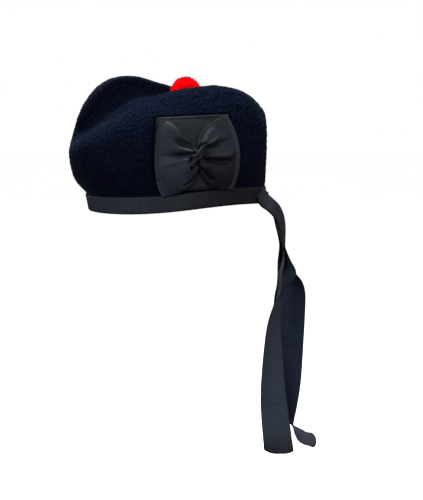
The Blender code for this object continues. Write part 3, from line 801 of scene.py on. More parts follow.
# %% Rows and columns of the crown's outer face
CROWN_SPANS = 440
OUTER_ROWS = 168
INNER_ROWS = 44
FINE_ROWS = 600


def even_rings(count):
    """Ring numbers from the rim to the crease, an even distance apart up the two sides."""
    fine = np.linspace(0, CREASE_RING, FINE_ROWS)
    sides = on_cage(cage, fine[:, None], np.array([[COLUMNS / 4, 3 * COLUMNS / 4]]))
    steps = np.linalg.norm(np.diff(sides, axis=0), axis=2).mean(axis=1)
    length = np.concatenate([[0], np.cumsum(steps)])
    return np.interp(np.linspace(0, length[-1], count), length, fine)


crown_rings = even_rings(OUTER_ROWS)
crown_columns = np.arange(CROWN_SPANS) * COLUMNS / CROWN_SPANS
crown_face = on_cage(cage, crown_rings[:, None], crown_columns[None, :])
crown_normals = grid_normals(crown_face, looped=True)
# On the wearer's left they have to point to -Y
crown_normals *= -np.sign(crown_normals[OUTER_ROWS // 3, CROWN_SPANS // 4, 1])
crown_normals[-1] = unit(
    crown_normals[-2] + crown_normals[-2][-np.arange(CROWN_SPANS) % CROWN_SPANS])
print("outer face:", crown_face.shape[:2], "points")

# %% Where the cockade lies, and how calm the felt is under it and beside the binding
COCKADE_WIDTH = 0.079
COCKADE_HEIGHT = 0.080
COCKADE_TO_NAPE = 0.0828
COCKADE_CLEAR = 0.0008
COCKADE_LEAN = math.radians(3)
COCKADE_BULGE = 0.005
COCKADE_BACK = HALF_LENGTH - COCKADE_TO_NAPE
COCKADE_UP = RIM_RISE / 2 + BINDING_HEIGHT + COCKADE_CLEAR + COCKADE_HEIGHT / 2
CALM_WIDTH = 1.15 * COCKADE_WIDTH
CALM_HEIGHT = 1.05 * COCKADE_HEIGHT
CALM_MARGIN = 0.014
CALM_ABOVE = BINDING_HEIGHT + 0.004


def clear_of_cockade(points):
    """0 under the cockade on the wearer's left, rising to 1 a margin away from it."""
    beside = np.abs(points[..., 0] - COCKADE_BACK) - CALM_WIDTH / 2
    above = np.abs(points[..., 2] - COCKADE_UP) - CALM_HEIGHT / 2
    return np.where(points[..., 1] < 0, ramp(np.maximum(beside, above), 0, CALM_MARGIN), 1.0)


def past_cockade(points):
    """How far places on the wearer's left lie outside the cockade's outline, below zero inside it. In
    the cockade's own leaning directions it is a rectangle whose two sides bow out."""
    across, rise = leaning(points[..., 0] - COCKADE_BACK, points[..., 2] - COCKADE_UP, -COCKADE_LEAN)
    bulge = COCKADE_BULGE * (1 - (2 * rise / COCKADE_HEIGHT) ** 2)
    beyond = np.maximum(np.abs(across) - COCKADE_WIDTH / 2 - bulge, np.abs(rise) - COCKADE_HEIGHT / 2)
    return np.where(points[..., 1] < 0, beyond, 1.0)


# %% Dents, pebbles and the near ridge's roll
# Waves are given by the shortest, the longest, how many there are and the seed that they are drawn from
DENT = 0.0007
DENT_WAVES = (0.030, 0.090, 24, 3)
PEBBLE = 0.00022
PEBBLE_WAVES = (0.0034, 0.008, 80, 4)
# The near ridge is pressed to a crisp roll, with a faint dip below it and a furrow behind it. Each is
# a ring, how far the felt stands out there and how many rings it spreads over, between these angles
ROLL = ((7.0, 0.0020, 0.20), (6.35, -0.0004, 0.30), (7.8, -0.0040, 0.35))
ROLL_ANGLES = (3.0, 15.0, 60.0, 100.0)

above_band = ramp(crown_face[..., 2], CALM_ABOVE, CALM_ABOVE + CALM_MARGIN)
calm = clear_of_cockade(crown_face) * above_band
angles = crown_columns * 360 / COLUMNS
relief = DENT * soft_waves(crown_face, *DENT_WAVES)
relief += PEBBLE * soft_waves(crown_face, *PEBBLE_WAVES)
roll = sum(height * bell(crown_rings - at, spread) for at, height, spread in ROLL)
relief += np.outer(roll, plateau(angles, *ROLL_ANGLES))

# %% Where a highlight is painted paler on the felt
# The painted highlight lies on the far ridge, in a belt of rings that narrows towards the nape, and
# in the near hollow behind its roll
HIGHLIGHT_FROM, HIGHLIGHT_TO, HIGHLIGHT_TO_BACK = 6.6, 8.3, 7.4
HIGHLIGHT_EDGE = 0.3
HIGHLIGHT_ANGLES = (8.0, 20.0, 80.0, 150.0)
HIGHLIGHT_NARROWS = (20.0, 70.0)
HOLLOW_HIGHLIGHT = 0.30
HOLLOW_RING = 8.0
HOLLOW_SPREAD = 0.5
HOLLOW_ANGLES = (45.0, 60.0, 98.0, 118.0)

far_angles = 360 - angles
belt_end = HIGHLIGHT_TO + (HIGHLIGHT_TO_BACK - HIGHLIGHT_TO) * ramp(far_angles, *HIGHLIGHT_NARROWS)
felt_highlight = np.outer(ramp(crown_rings, HIGHLIGHT_FROM, HIGHLIGHT_FROM + HIGHLIGHT_EDGE), plateau(far_angles, *HIGHLIGHT_ANGLES))
felt_highlight *= ramp(belt_end - crown_rings[:, None], -HIGHLIGHT_EDGE / 2, HIGHLIGHT_EDGE / 2)
in_hollow = bell(crown_rings - HOLLOW_RING, HOLLOW_SPREAD)
felt_highlight += HOLLOW_HIGHLIGHT * np.outer(in_hollow, plateau(angles, *HOLLOW_ANGLES))

# %% The crown as one closed wall
# The felt sinks along the cockade's edge, where it is sewn down, and a shadow is painted dark there.
# Each is a strength, how far past the edge it lies and how far it spreads
SINK, SINK_PAST, SINK_SPREAD = 0.0018, 0.0006, 0.0014
SHADE, SHADE_PAST, SHADE_SPREAD = 0.85, 0.0008, 0.0013

sunk = SINK * bell(past_cockade(crown_face) - SINK_PAST, SINK_SPREAD) * above_band
crown_outer = crown_face + crown_normals * (relief * calm - sunk)[..., None]
print(f"dents up to {np.abs(relief * calm).max() * 1000:.2f} mm")

inner_rows = np.linspace(0, OUTER_ROWS - 1, INNER_ROWS).round().astype(int)
crown_inner = (crown_face - crown_normals * FELT)[inner_rows[::-1]]
wall = np.concatenate([crown_inner, crown_outer])
crown = closed_piece(
    "crown_felt", wall.reshape(-1, 3), grid_quads(*wall.shape[:2], loop_columns=True), felt, weld=1e-6,
    Seam=SHADE * bell(past_cockade(wall) - SHADE_PAST, SHADE_SPREAD),
    Worn=np.concatenate([np.zeros((INNER_ROWS, CROWN_SPANS)), felt_highlight]),
)
join_to_frame(crown, "felt", "crown")

# %% [markdown]
# ## Nap
# Short crimped fibres stand out of felt and soften its edge. Hair particles could grow them, but the
# copies that particles draw aren't a mesh. One mesh of thin three-sided spikes, all bent from arrays,
# keeps the same look wherever the model goes.


# %% Places scattered evenly over a grid
def scatter(grid, normals, weight, count, draw):
    """Random points on a grid's surface and their normals, as many to each cell as its area times its
    weight asks: a random mix of the cell's corners."""
    below, above = grid[:-1], grid[1:]
    right_below, right_above = (np.roll(part, -1, axis=1) for part in (below, above))
    area = np.linalg.norm(np.cross(right_above - below, above - right_below), axis=-1) / 2
    chance = (area * weight[:-1]).ravel()
    cell = draw.choice(chance.size, count, p=chance / chance.sum())
    u, v = draw.random((2, count, 1))
    corners = (below, right_below, right_above, above)
    shares = ((1 - u) * (1 - v), u * (1 - v), u * v, (1 - u) * v)
    points = sum(share * corner.reshape(-1, 3)[cell] for share, corner in zip(shares, corners))
    return points, normals[:-1].reshape(-1, 3)[cell]


# %% Strands as one mesh
STRAND_RINGS, STRAND_SIDES = 3, 3
STRAND_POINTS = STRAND_RINGS * STRAND_SIDES
STRAND_ENDS = np.array([[0, 2, 1], [6, 7, 8]])
STEEP = 0.7


def strands(name, roots, heads, bends, radius, taper, finish, shades):
    """Thin strands in one mesh, of three rings each. A strand's middle line is root + head t + bend t
    squared for t from 0 to 1, and its section is a triangle whose radius falls to taper times itself
    at the tip."""
    t = np.linspace(0, 1, STRAND_RINGS)[None, :, None]
    middle = roots[:, None] + heads[:, None] * t + bends[:, None] * t**2
    level = np.abs(heads[:, 2:]) < STEEP * np.linalg.norm(heads, axis=1, keepdims=True)
    away = np.where(level, [[0.0, 0.0, 1.0]], [[1.0, 0.0, 0.0]])
    side = unit(np.cross(heads, away))
    reach = radius * (1 - (1 - taper) * t[..., None])
    section = spokes(side, unit(np.cross(heads, side)), STRAND_SIDES)
    points = middle[:, :, None] + reach * section[:, None]
    quads = grid_quads(STRAND_RINGS, STRAND_SIDES, loop_columns=True)
    quads = repeated(quads, len(roots), STRAND_POINTS)
    ends = repeated(STRAND_ENDS, len(roots), STRAND_POINTS)
    piece = mesh_of(name, points.reshape(-1, 3), quads, finish, ends)
    set_mask(piece, "Shade", np.repeat(shades, STRAND_POINTS))
    return piece


# %% The felt's nap
NAP_COUNT = 12000
NAP_LENGTH = 0.0011
NAP_RADIUS = 0.00004
NAP_TAPER = 0.3
NAP_SHORTEST = 0.4
NAP_RISE, NAP_LEAN, NAP_CURL, NAP_DROOP, NAP_LEAST = 0.45, 0.8, 0.7, 0.3, 0.2
NAP_ROOT = 0.0003
NAP_EDGE = 0.003

draw = np.random.default_rng(11)
above = ramp(crown_face[..., 2], CALM_ABOVE, CALM_ABOVE + NAP_EDGE)
bare = above * (clear_of_cockade(crown_face) > 0.5)
roots, outs = scatter(crown_outer, crown_normals, bare, NAP_COUNT, draw)
leans = draw.normal(size=(2, NAP_COUNT, 3))
lengths = NAP_LENGTH * draw.uniform(NAP_SHORTEST, 1.0, (NAP_COUNT, 1))
heads = (NAP_RISE * outs + NAP_LEAN * leans[0]) * lengths
bends = NAP_CURL * leans[1] * lengths - NAP_DROOP * outs * lengths
heads += outs * np.maximum(0, NAP_LEAST * lengths[:, 0] - (heads * outs).sum(1))[:, None]
nap = strands("felt_nap", roots - NAP_ROOT * outs, heads, bends, NAP_RADIUS, NAP_TAPER, nap_fibre,
              draw.random(NAP_COUNT))
join_to_frame(nap, "felt")

# %% [markdown]
# ## The binding
# A ribbon is folded over the felt's lower edge and sewn through. Its ribs run across the ribbon, so up
# the band, at about eight to the centimetre. They could be a bump, but from the side the edge of a
# ribbed ribbon is notched, so the ribs are in the mesh.

# %% Ribs
RIB_PITCH = 0.0012
RIB_DEPTH = 0.00016
SELVEDGE = 0.0014
SELVEDGE_SHARE = 0.25
CELLS_A_RIB = 4


def ribs_along(length):
    """How far the ribs stand at lengths along a ribbon: a rounded ridge and a narrow furrow in each
    pitch, the absolute value of a cosine."""
    return RIB_DEPTH * np.abs(np.cos(math.pi * length / RIB_PITCH))


def selvedge(across, width):
    """1 over the ribbed part of a ribbon, falling to a smaller share at its two woven edges."""
    inside = np.minimum(across, width - across)
    return SELVEDGE_SHARE + (1 - SELVEDGE_SHARE) * ramp(inside, 0, SELVEDGE)


# %% The folded section
FOLD_POINTS = 7
LEG_POINTS = 6
BAND_THICKNESS = 0.0006


def folded_section(outer, inner, top, bottom):
    """The section of the fold, in lengths out from the felt and up: down the outer leg, round half a
    circle and up the inner leg. The unit vectors square to it come second."""
    radius = (outer - inner) / 2
    leg = np.linspace(top, bottom + radius, LEG_POINTS)[:-1]
    turn = np.linspace(0, math.pi, FOLD_POINTS)
    middle, low = inner + radius, bottom + radius
    bend = np.column_stack([middle + radius * np.cos(turn), low - radius * np.sin(turn)])
    path = np.concatenate([
        np.column_stack([np.full(len(leg), outer), leg]),
        bend,
        np.column_stack([np.full(len(leg), inner), leg[::-1]]),
    ])
    square = np.concatenate([
        np.tile([1.0, 0.0], (len(leg), 1)),
        np.column_stack([np.cos(turn), -np.sin(turn)]),
        np.tile([-1.0, 0.0], (len(leg), 1)),
    ])
    return path, square


# %% The band as one closed ribbon
def ring_weights(spans):
    """A matrix that turns the cage's columns into evenly numbered points of their B-spline."""
    columns = np.arange(spans) * COLUMNS / spans
    first = np.floor(columns).astype(int)
    matrix = np.zeros((spans, COLUMNS))
    weights = spline_weights(columns - first)
    for step in range(4):
        matrix[np.arange(spans), (first + step - 1) % COLUMNS] += weights[:, step]
    return matrix


def band_frame(matrix):
    """Points of the rim, the lengths along it, and the level unit vectors that point out of it."""
    points = matrix @ rim_ring(0, 0)
    return points, lengths_along(np.concatenate([points, points[:1]])), level_out(points)


ROUGH_SPANS = 400
BAND_RIBS = round(band_frame(ring_weights(ROUGH_SPANS))[1][-1] / RIB_PITCH)
BAND_SPANS = CELLS_A_RIB * BAND_RIBS
WOBBLE = 0.00025
WOBBLE_WAVES = (0.02, 0.08, 12, 8)

matrix = ring_weights(BAND_SPANS)
rim_points, rim_length, rim_out = band_frame(matrix)
outer_path, square = folded_section(GAP + RIBBON, -FELT - GAP - RIBBON, BINDING_HEIGHT, 0.0)
inner_path = outer_path - square * BAND_THICKNESS
band_length = np.arange(BAND_SPANS) * RIB_PITCH / CELLS_A_RIB
wobble = WOBBLE * soft_waves(rim_points, *WOBBLE_WAVES)


def band_rows(path, raised):
    """Rows of points round the cap for a section, each moved square to the section by a height."""
    rows = []
    for (out, up), (square_out, square_up), height in zip(path, square, raised):
        row = matrix @ rim_ring(out, up)
        row += (height * square_out)[:, None] * rim_out
        row[:, 2] += height * square_up + wobble * (up / BINDING_HEIGHT) ** 2
        rows.append(row)
    return np.array(rows)


section_length = lengths_along(outer_path)
BAND_WIDTH = section_length[-1]
raised = selvedge(section_length, BAND_WIDTH)[:, None] * (ribs_along(band_length) - RIB_DEPTH)
inside = band_rows(inner_path, np.zeros((len(inner_path), BAND_SPANS)))
band_grid = np.concatenate([band_rows(outer_path, raised), inside[::-1]])
quads = grid_quads(*band_grid.shape[:2], loop_rows=True, loop_columns=True)
binding = closed_piece("binding_ribbon", band_grid.reshape(-1, 3), quads, ribbed)
print(f"binding: {rim_length[-1] * 1000:.0f} mm round, ribbon {BAND_WIDTH * 1000:.1f} mm wide")

# %% The band's UV map, and the front of it, where light is painted paler
BAND_PAINTED_LIGHT = 0.32
BAND_LIT_REACH = (0.02, -0.07)

across = np.concatenate([section_length, section_length[::-1]])
flat = np.stack(np.broadcast_arrays(across[:, None], band_length[None]), axis=-1)
lay_uv(binding, flat.reshape(-1, 2))
set_mask(binding, "Faded", BAND_PAINTED_LIGHT * ramp(vertices_of(binding)[:, 0], *BAND_LIT_REACH))
join_to_frame(binding, "ribbed_ribbon", "binding")

# %% [markdown]
# ## Finding the wall under the cockade
# The cockade is sewn to the curved wall on the wearer's left. To lay a ribbon there, each of its points
# needs the place on the wall behind it. A shrinkwrap modifier could find it, but the wall is a formula,
# so Newton's method solves it for all the points at once, and gives the same answer every time.


# %% Newton's method on the wall
NEWTON_STEPS = 9
NUDGE = 0.01
WALL_ROWS = 106
NEAR_THE_END = 0.96
FRAME_REACH = COCKADE_WIDTH / 8


def wall_at(along, up):
    """The place on the left wall that lies along and up as asked. Each step moves the ring and the
    column by the miss divided by how fast the surface moves with them."""
    turn = np.arccos(np.clip(-along / HALF_LENGTH, -NEAR_THE_END, NEAR_THE_END))
    columns = COLUMNS / (2 * math.pi) * turn
    rings = np.interp(up, crown_face[:WALL_ROWS, CROWN_SPANS // 4, 2], crown_rings[:WALL_ROWS])
    for _ in range(NEWTON_STEPS):
        here = on_cage(cage, rings, columns)
        by_ring = (on_cage(cage, rings + NUDGE, columns) - here) / NUDGE
        by_column = (on_cage(cage, rings, columns + NUDGE) - here) / NUDGE
        miss_along, miss_up = along - here[..., 0], up - here[..., 2]
        spread = by_ring[..., 0] * by_column[..., 2] - by_ring[..., 2] * by_column[..., 0]
        ring_step = (miss_along * by_column[..., 2] - miss_up * by_column[..., 0]) / spread
        column_step = (miss_up * by_ring[..., 0] - miss_along * by_ring[..., 2]) / spread
        rings = np.clip(rings + np.clip(ring_step, -1, 1), 0, CREASE_RING)
        columns = columns + np.clip(column_step, -1, 1)
    return on_cage(cage, rings, columns)


def wall_frame(along, up):
    """Unit vectors on the wall: towards the nape, upwards, and out. They are measured over a fair
    reach, so that a ribbon laid by them stays smooth."""
    across = wall_at(along + FRAME_REACH, up) - wall_at(along - FRAME_REACH, up)
    upward = wall_at(along, up + FRAME_REACH) - wall_at(along, up - FRAME_REACH)
    out = unit(np.cross(across, upward))
    across = unit(across)
    return across, np.cross(out, across), out


def off_wall(along, up, distance):
    """Places a distance out from the wall, and the unit vectors that point out there."""
    out = wall_frame(along, up)[2]
    return wall_at(along, up) + out * np.asarray(distance)[..., None], out


# %% [markdown]
# ## The cockade's patch
# A square of the ribbed ribbon, its ribs level, sewn flat to the felt along its edges. An image could
# stand for the ribs, but here it is a grid laid on the wall, with the ribs as relief. Shade is painted
# dark along the hem at its top, where the felt's shadow gathers, and at its front edge and top front
# corner.

# %% The patch
PATCH_STAND = 1.5 * GAP
PATCH_THICKNESS = 0.0006
PATCH_COLUMNS = 60
HEM_BELOW, HEM_SPREAD = 0.0021, 0.0009
HEM_WAVES = (0.002, 0.006, 40, 8)
HEM_MEAN, HEM_CHANGE = 0.55, 0.45
CORNER_SHADE = (0.012, 0.0)
CORNER_SLOPE = 0.6
EDGE_DARKNESS = 0.8
EDGE_SHADE = (0.006, 0.003)


def patch_places(u, v):
    """Places along and up for shares of the patch's width and height, measured from its middle."""
    along, up = leaning(u * COCKADE_WIDTH, v * COCKADE_HEIGHT, COCKADE_LEAN)
    return COCKADE_BACK + along, COCKADE_UP + up


u = np.linspace(-0.5, 0.5, PATCH_COLUMNS)
v = np.linspace(-0.5, 0.5, CELLS_A_RIB * round(COCKADE_HEIGHT / RIB_PITCH) + 1)
from_left, from_bottom = (u + 0.5) * COCKADE_WIDTH, (v + 0.5) * COCKADE_HEIGHT
from_top = (0.5 - v[:, None]) * COCKADE_HEIGHT
along, up = patch_places(*np.meshgrid(u, v))
relief = (ribs_along(from_bottom)[:, None] - RIB_DEPTH) * selvedge(from_left, COCKADE_WIDTH)
patch_face, patch_out = off_wall(along, up, PATCH_STAND + RIBBON + relief)
ragged = np.clip(HEM_MEAN + HEM_CHANGE * soft_waves(patch_face, *HEM_WAVES), 0, 1)
# Painted shade on the patch: the top hem, the top front corner and the front edge
dark = np.maximum(
    bell(from_top - HEM_BELOW, HEM_SPREAD) * ragged,
    ramp(from_left + CORNER_SLOPE * from_top, *CORNER_SHADE),
)
dark = np.maximum(dark, EDGE_DARKNESS * ramp(from_left, *EDGE_SHADE))
patch = ribbon_piece(
    "cockade_patch", patch_face, patch_out, PATCH_THICKNESS, ribbed, from_left, from_bottom, Seam=dark,
)
join_to_frame(patch, "ribbed_ribbon", "cockade_backing")

# %% [markdown]
# ## The bow
# A ribbon is spread over the patch and wrung together in the middle, so that folds run out from the
# knot to its two ends. Cloth simulation makes folds, but not the ones that are wanted. Here each fold
# is a ridge or furrow with its own route across the bow and its own steep and gentle sides, and the
# sum of them is the height over the wall.

# %% The bow's sizes and its outline
BOW_STAND = PATCH_STAND + RIBBON + 2.5 * GAP
KNOT_BACK = COCKADE_BACK + 0.0047
KNOT_UP = COCKADE_UP - 0.0025
WING_SPAN = 0.046
WING_RISE = 0.044
BOW_LIFT = 0.0082
EDGE_LIFT = 0.18
LIFT_FALL = 0.8
KNOT_LENGTH = 0.015
KNOT_WIDTH = 0.0066
KNOT_HEIGHT = 0.0075
KNOT_LEAN = math.radians(36)
PINCH = 0.005

# Rows from the knot out: how far along and up from the knot a wing's upper edge lies, and then its
# lower edge, as shares of WING_SPAN and WING_RISE
FRONT_WING = (
    (-0.02, 0.13, -0.02, -0.36),
    (-0.14, 0.25, -0.05, -0.53),
    (-0.36, 0.50, -0.20, -0.75),
    (-0.58, 0.73, -0.48, -0.92),
    (-0.81, 0.83, -0.81, -1.02),
)
BACK_WING = (
    (0.02, 0.14, 0.02, -0.30),
    (-0.03, 0.33, 0.06, -0.46),
    (0.08, 0.62, 0.15, -0.64),
    (0.34, 0.82, 0.32, -0.81),
    (0.64, 0.98, 0.77, -0.86),
)
FRONT_BULGE = (0.20, 0.5)
BACK_BULGE = (0.225, 0.9)

# %% The bow's folds
# A row for each fold, in millimetres: its height, how far it spreads above and below its line, how
# sharp its crest is, and its route as places towards the nape and up from the knot. A furrow's height
# is below zero.
FRONT_FOLDS = (
    (-6.8, 2.2, 3.2, 1.7, ((-3.0, 6.2), (-8.0, 8.8), (-14.2, 11.4), (-21.3, 14.6), (-30.0, 17.2))),
    (1.4, 3.4, 2.8, 1.6, ((-4.0, 4.0), (-12.0, 5.3), (-22.0, 6.7), (-32.0, 7.3))),
    (-6.2, 1.7, 1.7, 1.6, ((-4.0, 1.8), (-12.0, 0.8), (-22.0, 0.0), (-44.0, -2.0))),
    (2.8, 1.3, 7.5, 1.1, ((-4.5, -2.6), (-11.0, -3.9), (-21.0, -5.8), (-32.0, -8.6), (-47.0, -10.0))),
    (1.4, 8.0, 9.0, 2.0, ((-10.0, -13.0), (-24.0, -20.0), (-40.0, -26.0))),
    (-4.2, 1.0, 1.3, 1.3, ((-1.0, -18.5), (-8.3, -26.6), (-19.0, -34.5))),
    (1.6, 6.0, 7.0, 2.0, ((-14.0, 22.0), (-28.0, 28.0), (-40.0, 31.0))),
    (-0.9, 0.9, 0.9, 1.3, ((-47.0, -29.0), (-42.0, -27.0), (-37.0, -26.5))),
    (-6.0, 2.6, 2.6, 2.0, ((-6.0, -11.0), (-8.4, -13.4), (-9.6, -15.4), (-10.4, -17.0))),
)
BACK_FOLDS = (
    (1.6, 2.0, 1.8, 1.2, ((-2.0, 6.0), (-2.0, 16.0), (1.0, 26.0), (7.0, 35.0))),
    (-1.5, 1.2, 1.8, 1.2, ((0.2, 8.0), (1.8, 15.0), (5.0, 22.0), (10.0, 29.0))),
    (1.3, 3.0, 4.0, 1.8, ((5.0, 13.5), (11.0, 23.0), (20.0, 31.0))),
    (2.8, 3.6, 1.4, 1.1, ((-0.4, 4.7), (4.7, 10.6), (10.7, 11.9), (18.0, 16.8), (25.0, 22.5))),
    (-5.6, 1.4, 2.0, 1.3, (
        (3.2, 4.8), (7.6, 8.0), (13.0, 9.6), (20.0, 12.6), (29.0, 16.4), (41.0, 21.6),
    )),
    (4.0, 5.0, 2.6, 1.8, ((7.0, -1.2), (18.0, -1.8), (31.0, -0.4), (41.0, 7.6))),
    (-7.6, 2.4, 1.4, 1.5, ((3.0, -4.0), (11.0, -6.0), (24.0, -7.6), (42.0, -6.0))),
    (1.6, 1.2, 2.0, 1.2, ((-0.4, -9.6), (4.7, -12.2), (14.5, -11.2))),
    (-3.8, 1.4, 1.5, 1.3, ((1.8, -12.5), (9.8, -21.5), (19.0, -30.0))),
    (1.2, 7.0, 8.0, 2.0, ((14.0, -16.0), (26.0, -22.0), (36.0, -28.0))),
)
ROUTE_POINTS = 60
SPREADS_FROM, SPREADS_BY = 0.75, 0.6
GROWS = (-0.0875, 0.1625)
FADES = (1.0, 0.55)
# The ranges that a wrinkle's slope, start, end, height and spread are drawn from, and its sharpness
WRINKLES = 14
WRINKLE_SLOPES = np.radians(np.linspace(-48, 48, WRINKLES))
WRINKLE_STARTS, WRINKLE_ENDS = (6, 11), (20, 42)
WRINKLE_HEIGHTS, WRINKLE_SPREADS = (0.12, 0.34), (0.6, 1.4)
WRINKLE_SHARPNESS = 1.5
WRINKLE_POINTS = 4
WRINKLE_TURNS, WRINKLE_WANDERS = 0.05, 0.5


def fold_height(place, folds):
    """The sum of the folds at places on the wall, measured from the knot. Each falls away from its
    route as e to the minus (distance over spread) to the power of its sharpness. It grows over the
    first part of its route and dies out over the last."""
    total = np.zeros(place.shape[:-1])
    for height, above, below, sharpness, route in folds:
        points = smooth_line(np.array(route), np.linspace(0, len(route) - 1, ROUTE_POINTS)) / 1000
        gap = place[..., None, :] - points
        nearest = np.argmin((gap**2).sum(axis=-1), axis=-1)
        share = nearest / (ROUTE_POINTS - 1)
        ahead = np.gradient(points, axis=0)[nearest]
        ahead *= np.sign(points[-1, 0] - points[0, 0])
        gap = np.take_along_axis(gap, nearest[..., None, None], axis=-2)[..., 0, :]
        upper = ahead[..., 0] * gap[..., 1] - ahead[..., 1] * gap[..., 0] > 0
        spread = np.where(upper, above, below) / 1000 * (SPREADS_FROM + SPREADS_BY * share)
        fade = ramp(share, *GROWS) * ramp(share, *FADES)
        total += height / 1000 * fade * np.exp(-((np.linalg.norm(gap, axis=-1) / spread) ** sharpness))
    return total


def wrinkles(outward, seed):
    """Small folds between the large ones, drawn once: rows like those of the tables."""
    draw = np.random.default_rng(seed)
    rows = []
    for slope in WRINKLE_SLOPES:
        slope = slope + draw.normal(0, WRINKLE_TURNS)
        start, end = draw.uniform(*WRINKLE_STARTS), draw.uniform(*WRINKLE_ENDS)
        ahead = np.array([[outward * math.cos(slope), math.sin(slope)]])
        route = np.linspace(start, end, WRINKLE_POINTS)[:, None] * ahead
        route = route + draw.normal(0, WRINKLE_WANDERS, (WRINKLE_POINTS, 2))
        height = draw.choice([-1, 1]) * draw.uniform(*WRINKLE_HEIGHTS)
        above, below = draw.uniform(*WRINKLE_SPREADS), draw.uniform(*WRINKLE_SPREADS)
        rows.append((height, above, below, WRINKLE_SHARPNESS, route))
    return tuple(rows)


def beyond_knot(place):
    """How free of the knot a place of the bow is: 0 under the knot, and 1 from PINCH beyond it."""
    axis = np.array([math.sin(KNOT_LEAN), math.cos(KNOT_LEAN)])
    along = np.clip(place @ axis, -KNOT_LENGTH / 2, KNOT_LENGTH / 2)
    away = np.linalg.norm(place - along[..., None] * axis, axis=-1) - KNOT_WIDTH / 2
    return ramp(away, 0, PINCH)


# %% The wings
WING_ROWS = 110
WING_CELLS = 170
BOW_THICKNESS = 0.0005
LEAST_LIFT = 0.0004
HEM_DEPTH = 0.0005
HEM_FROM, HEM_TO = 0.972, 0.984
HEM_LINE, HEM_LINE_WIDTH, END_LINE_WIDTH = 0.0019, 0.0004, 0.0005
DEEP_SHADE, DEEP_LIFT, DEEP_FADES = 0.9, 0.0018, (1.0, 0.55)
BRINK_SHADE, BRINK_WIDTH = 0.7, 0.0010


def make_wing(name, table, bulging, outward, folds, hemmed, seed, node_name):
    """One half of the bow, spread between its upper and lower edges, with the height of its folds. Its
    masks paint shade dark in the valleys near the knot and along the long edges, and draw the hem in
    pale lines."""
    bulge, roundness = bulging
    out = np.linspace(0, 1, WING_ROWS)[:, None]
    across = np.linspace(0, 1, WING_CELLS)[None]
    edges = smooth_line(table, out[:, 0] * (len(table) - 1)) * np.array([WING_SPAN, WING_RISE] * 2)
    upper, lower = edges[:, None, :2], edges[:, None, 2:]
    place = upper + (lower - upper) * across[..., None]
    arch = 4 * across * (1 - across)
    place[..., 0] += outward * bulge * WING_SPAN * arch**roundness * out**2
    lift = BOW_LIFT * (EDGE_LIFT + (1 - EDGE_LIFT) * arch) * (1 - LIFT_FALL * out**1.5)
    lift = lift + fold_height(place, folds + wrinkles(outward, seed))
    lift = np.sqrt(np.maximum(lift, 0.0) ** 2 + LEAST_LIFT**2)
    hem = HEM_DEPTH * ramp(out, HEM_FROM, HEM_TO)
    stand = BOW_STAND + RIBBON + beyond_knot(place) * lift + hem
    face, out_of_wall = off_wall(KNOT_BACK + place[..., 0], KNOT_UP + place[..., 1], stand)
    length = lengths_along(face[:, WING_CELLS // 2])[-1]
    width = lengths_along(face[-1])[-1]
    from_end = (1 - out) * length
    # Painted shade: the deep valleys and the long edges are darkened
    deep = DEEP_SHADE * bell(lift, DEEP_LIFT) * ramp(out, *DEEP_FADES)
    brink = BRINK_SHADE * bell(np.minimum(across, 1 - across) * width, BRINK_WIDTH)
    lines = np.maximum(bell(from_end - HEM_LINE, HEM_LINE_WIDTH), bell(from_end, END_LINE_WIDTH))
    wing = ribbon_piece(
        name, face, out_of_wall, BOW_THICKNESS, smooth_ribbon, across[0] * width, out[:, 0] * length,
        Seam=np.maximum(deep, brink), Hem=hemmed * lines + 0 * across,
    )
    print(f"{name}: {1000 * width:.0f} x {1000 * length:.0f} mm")
    join_to_frame(wing, "bow_ribbon", node_name)
    return face, out_of_wall


front_face, front_out = make_wing(
    "bow_ribbon_front", FRONT_WING, FRONT_BULGE, -1, FRONT_FOLDS, 0.0, 21, "bow_front_wing")
back_face, back_out = make_wing(
    "bow_ribbon_back", BACK_WING, BACK_BULGE, 1, BACK_FOLDS, 0.7, 22, "bow_back_wing")


# %% [markdown]
# ## The knot
# The middle of the bow is wrung: a few rolls of ribbon wind round one another from the lower front to
# the upper back, and a small loop of it stands out below. They could be one sculpted lump, but each
# roll is a tube carried along its own path, a profile on a path, and all of them make one mesh.


# %% A tube along a path
def tube(path, radii, sides, guide):
    """The points of a tube, rows along its path: a circle in the plane of two unit vectors square to
    the path, the first of them square to a guide as well. A radius of zero closes an end."""
    ahead = np.gradient(path, axis=0)
    side = unit(np.cross(ahead, guide))
    return path[:, None] + radii[:, None, None] * spokes(side, unit(np.cross(side, ahead)), sides)


def joined(shapes):
    """Several shapes' points and faces in one list, each shape's faces pointing out."""
    points, quads, first = [], [], 0
    for shape_points, corners in shapes:
        if volume_of(shape_points, corners) < 0:
            corners = corners[:, ::-1]
        points.append(shape_points)
        quads.append(corners + first)
        first += len(shape_points)
    return np.concatenate(points), np.concatenate(quads)


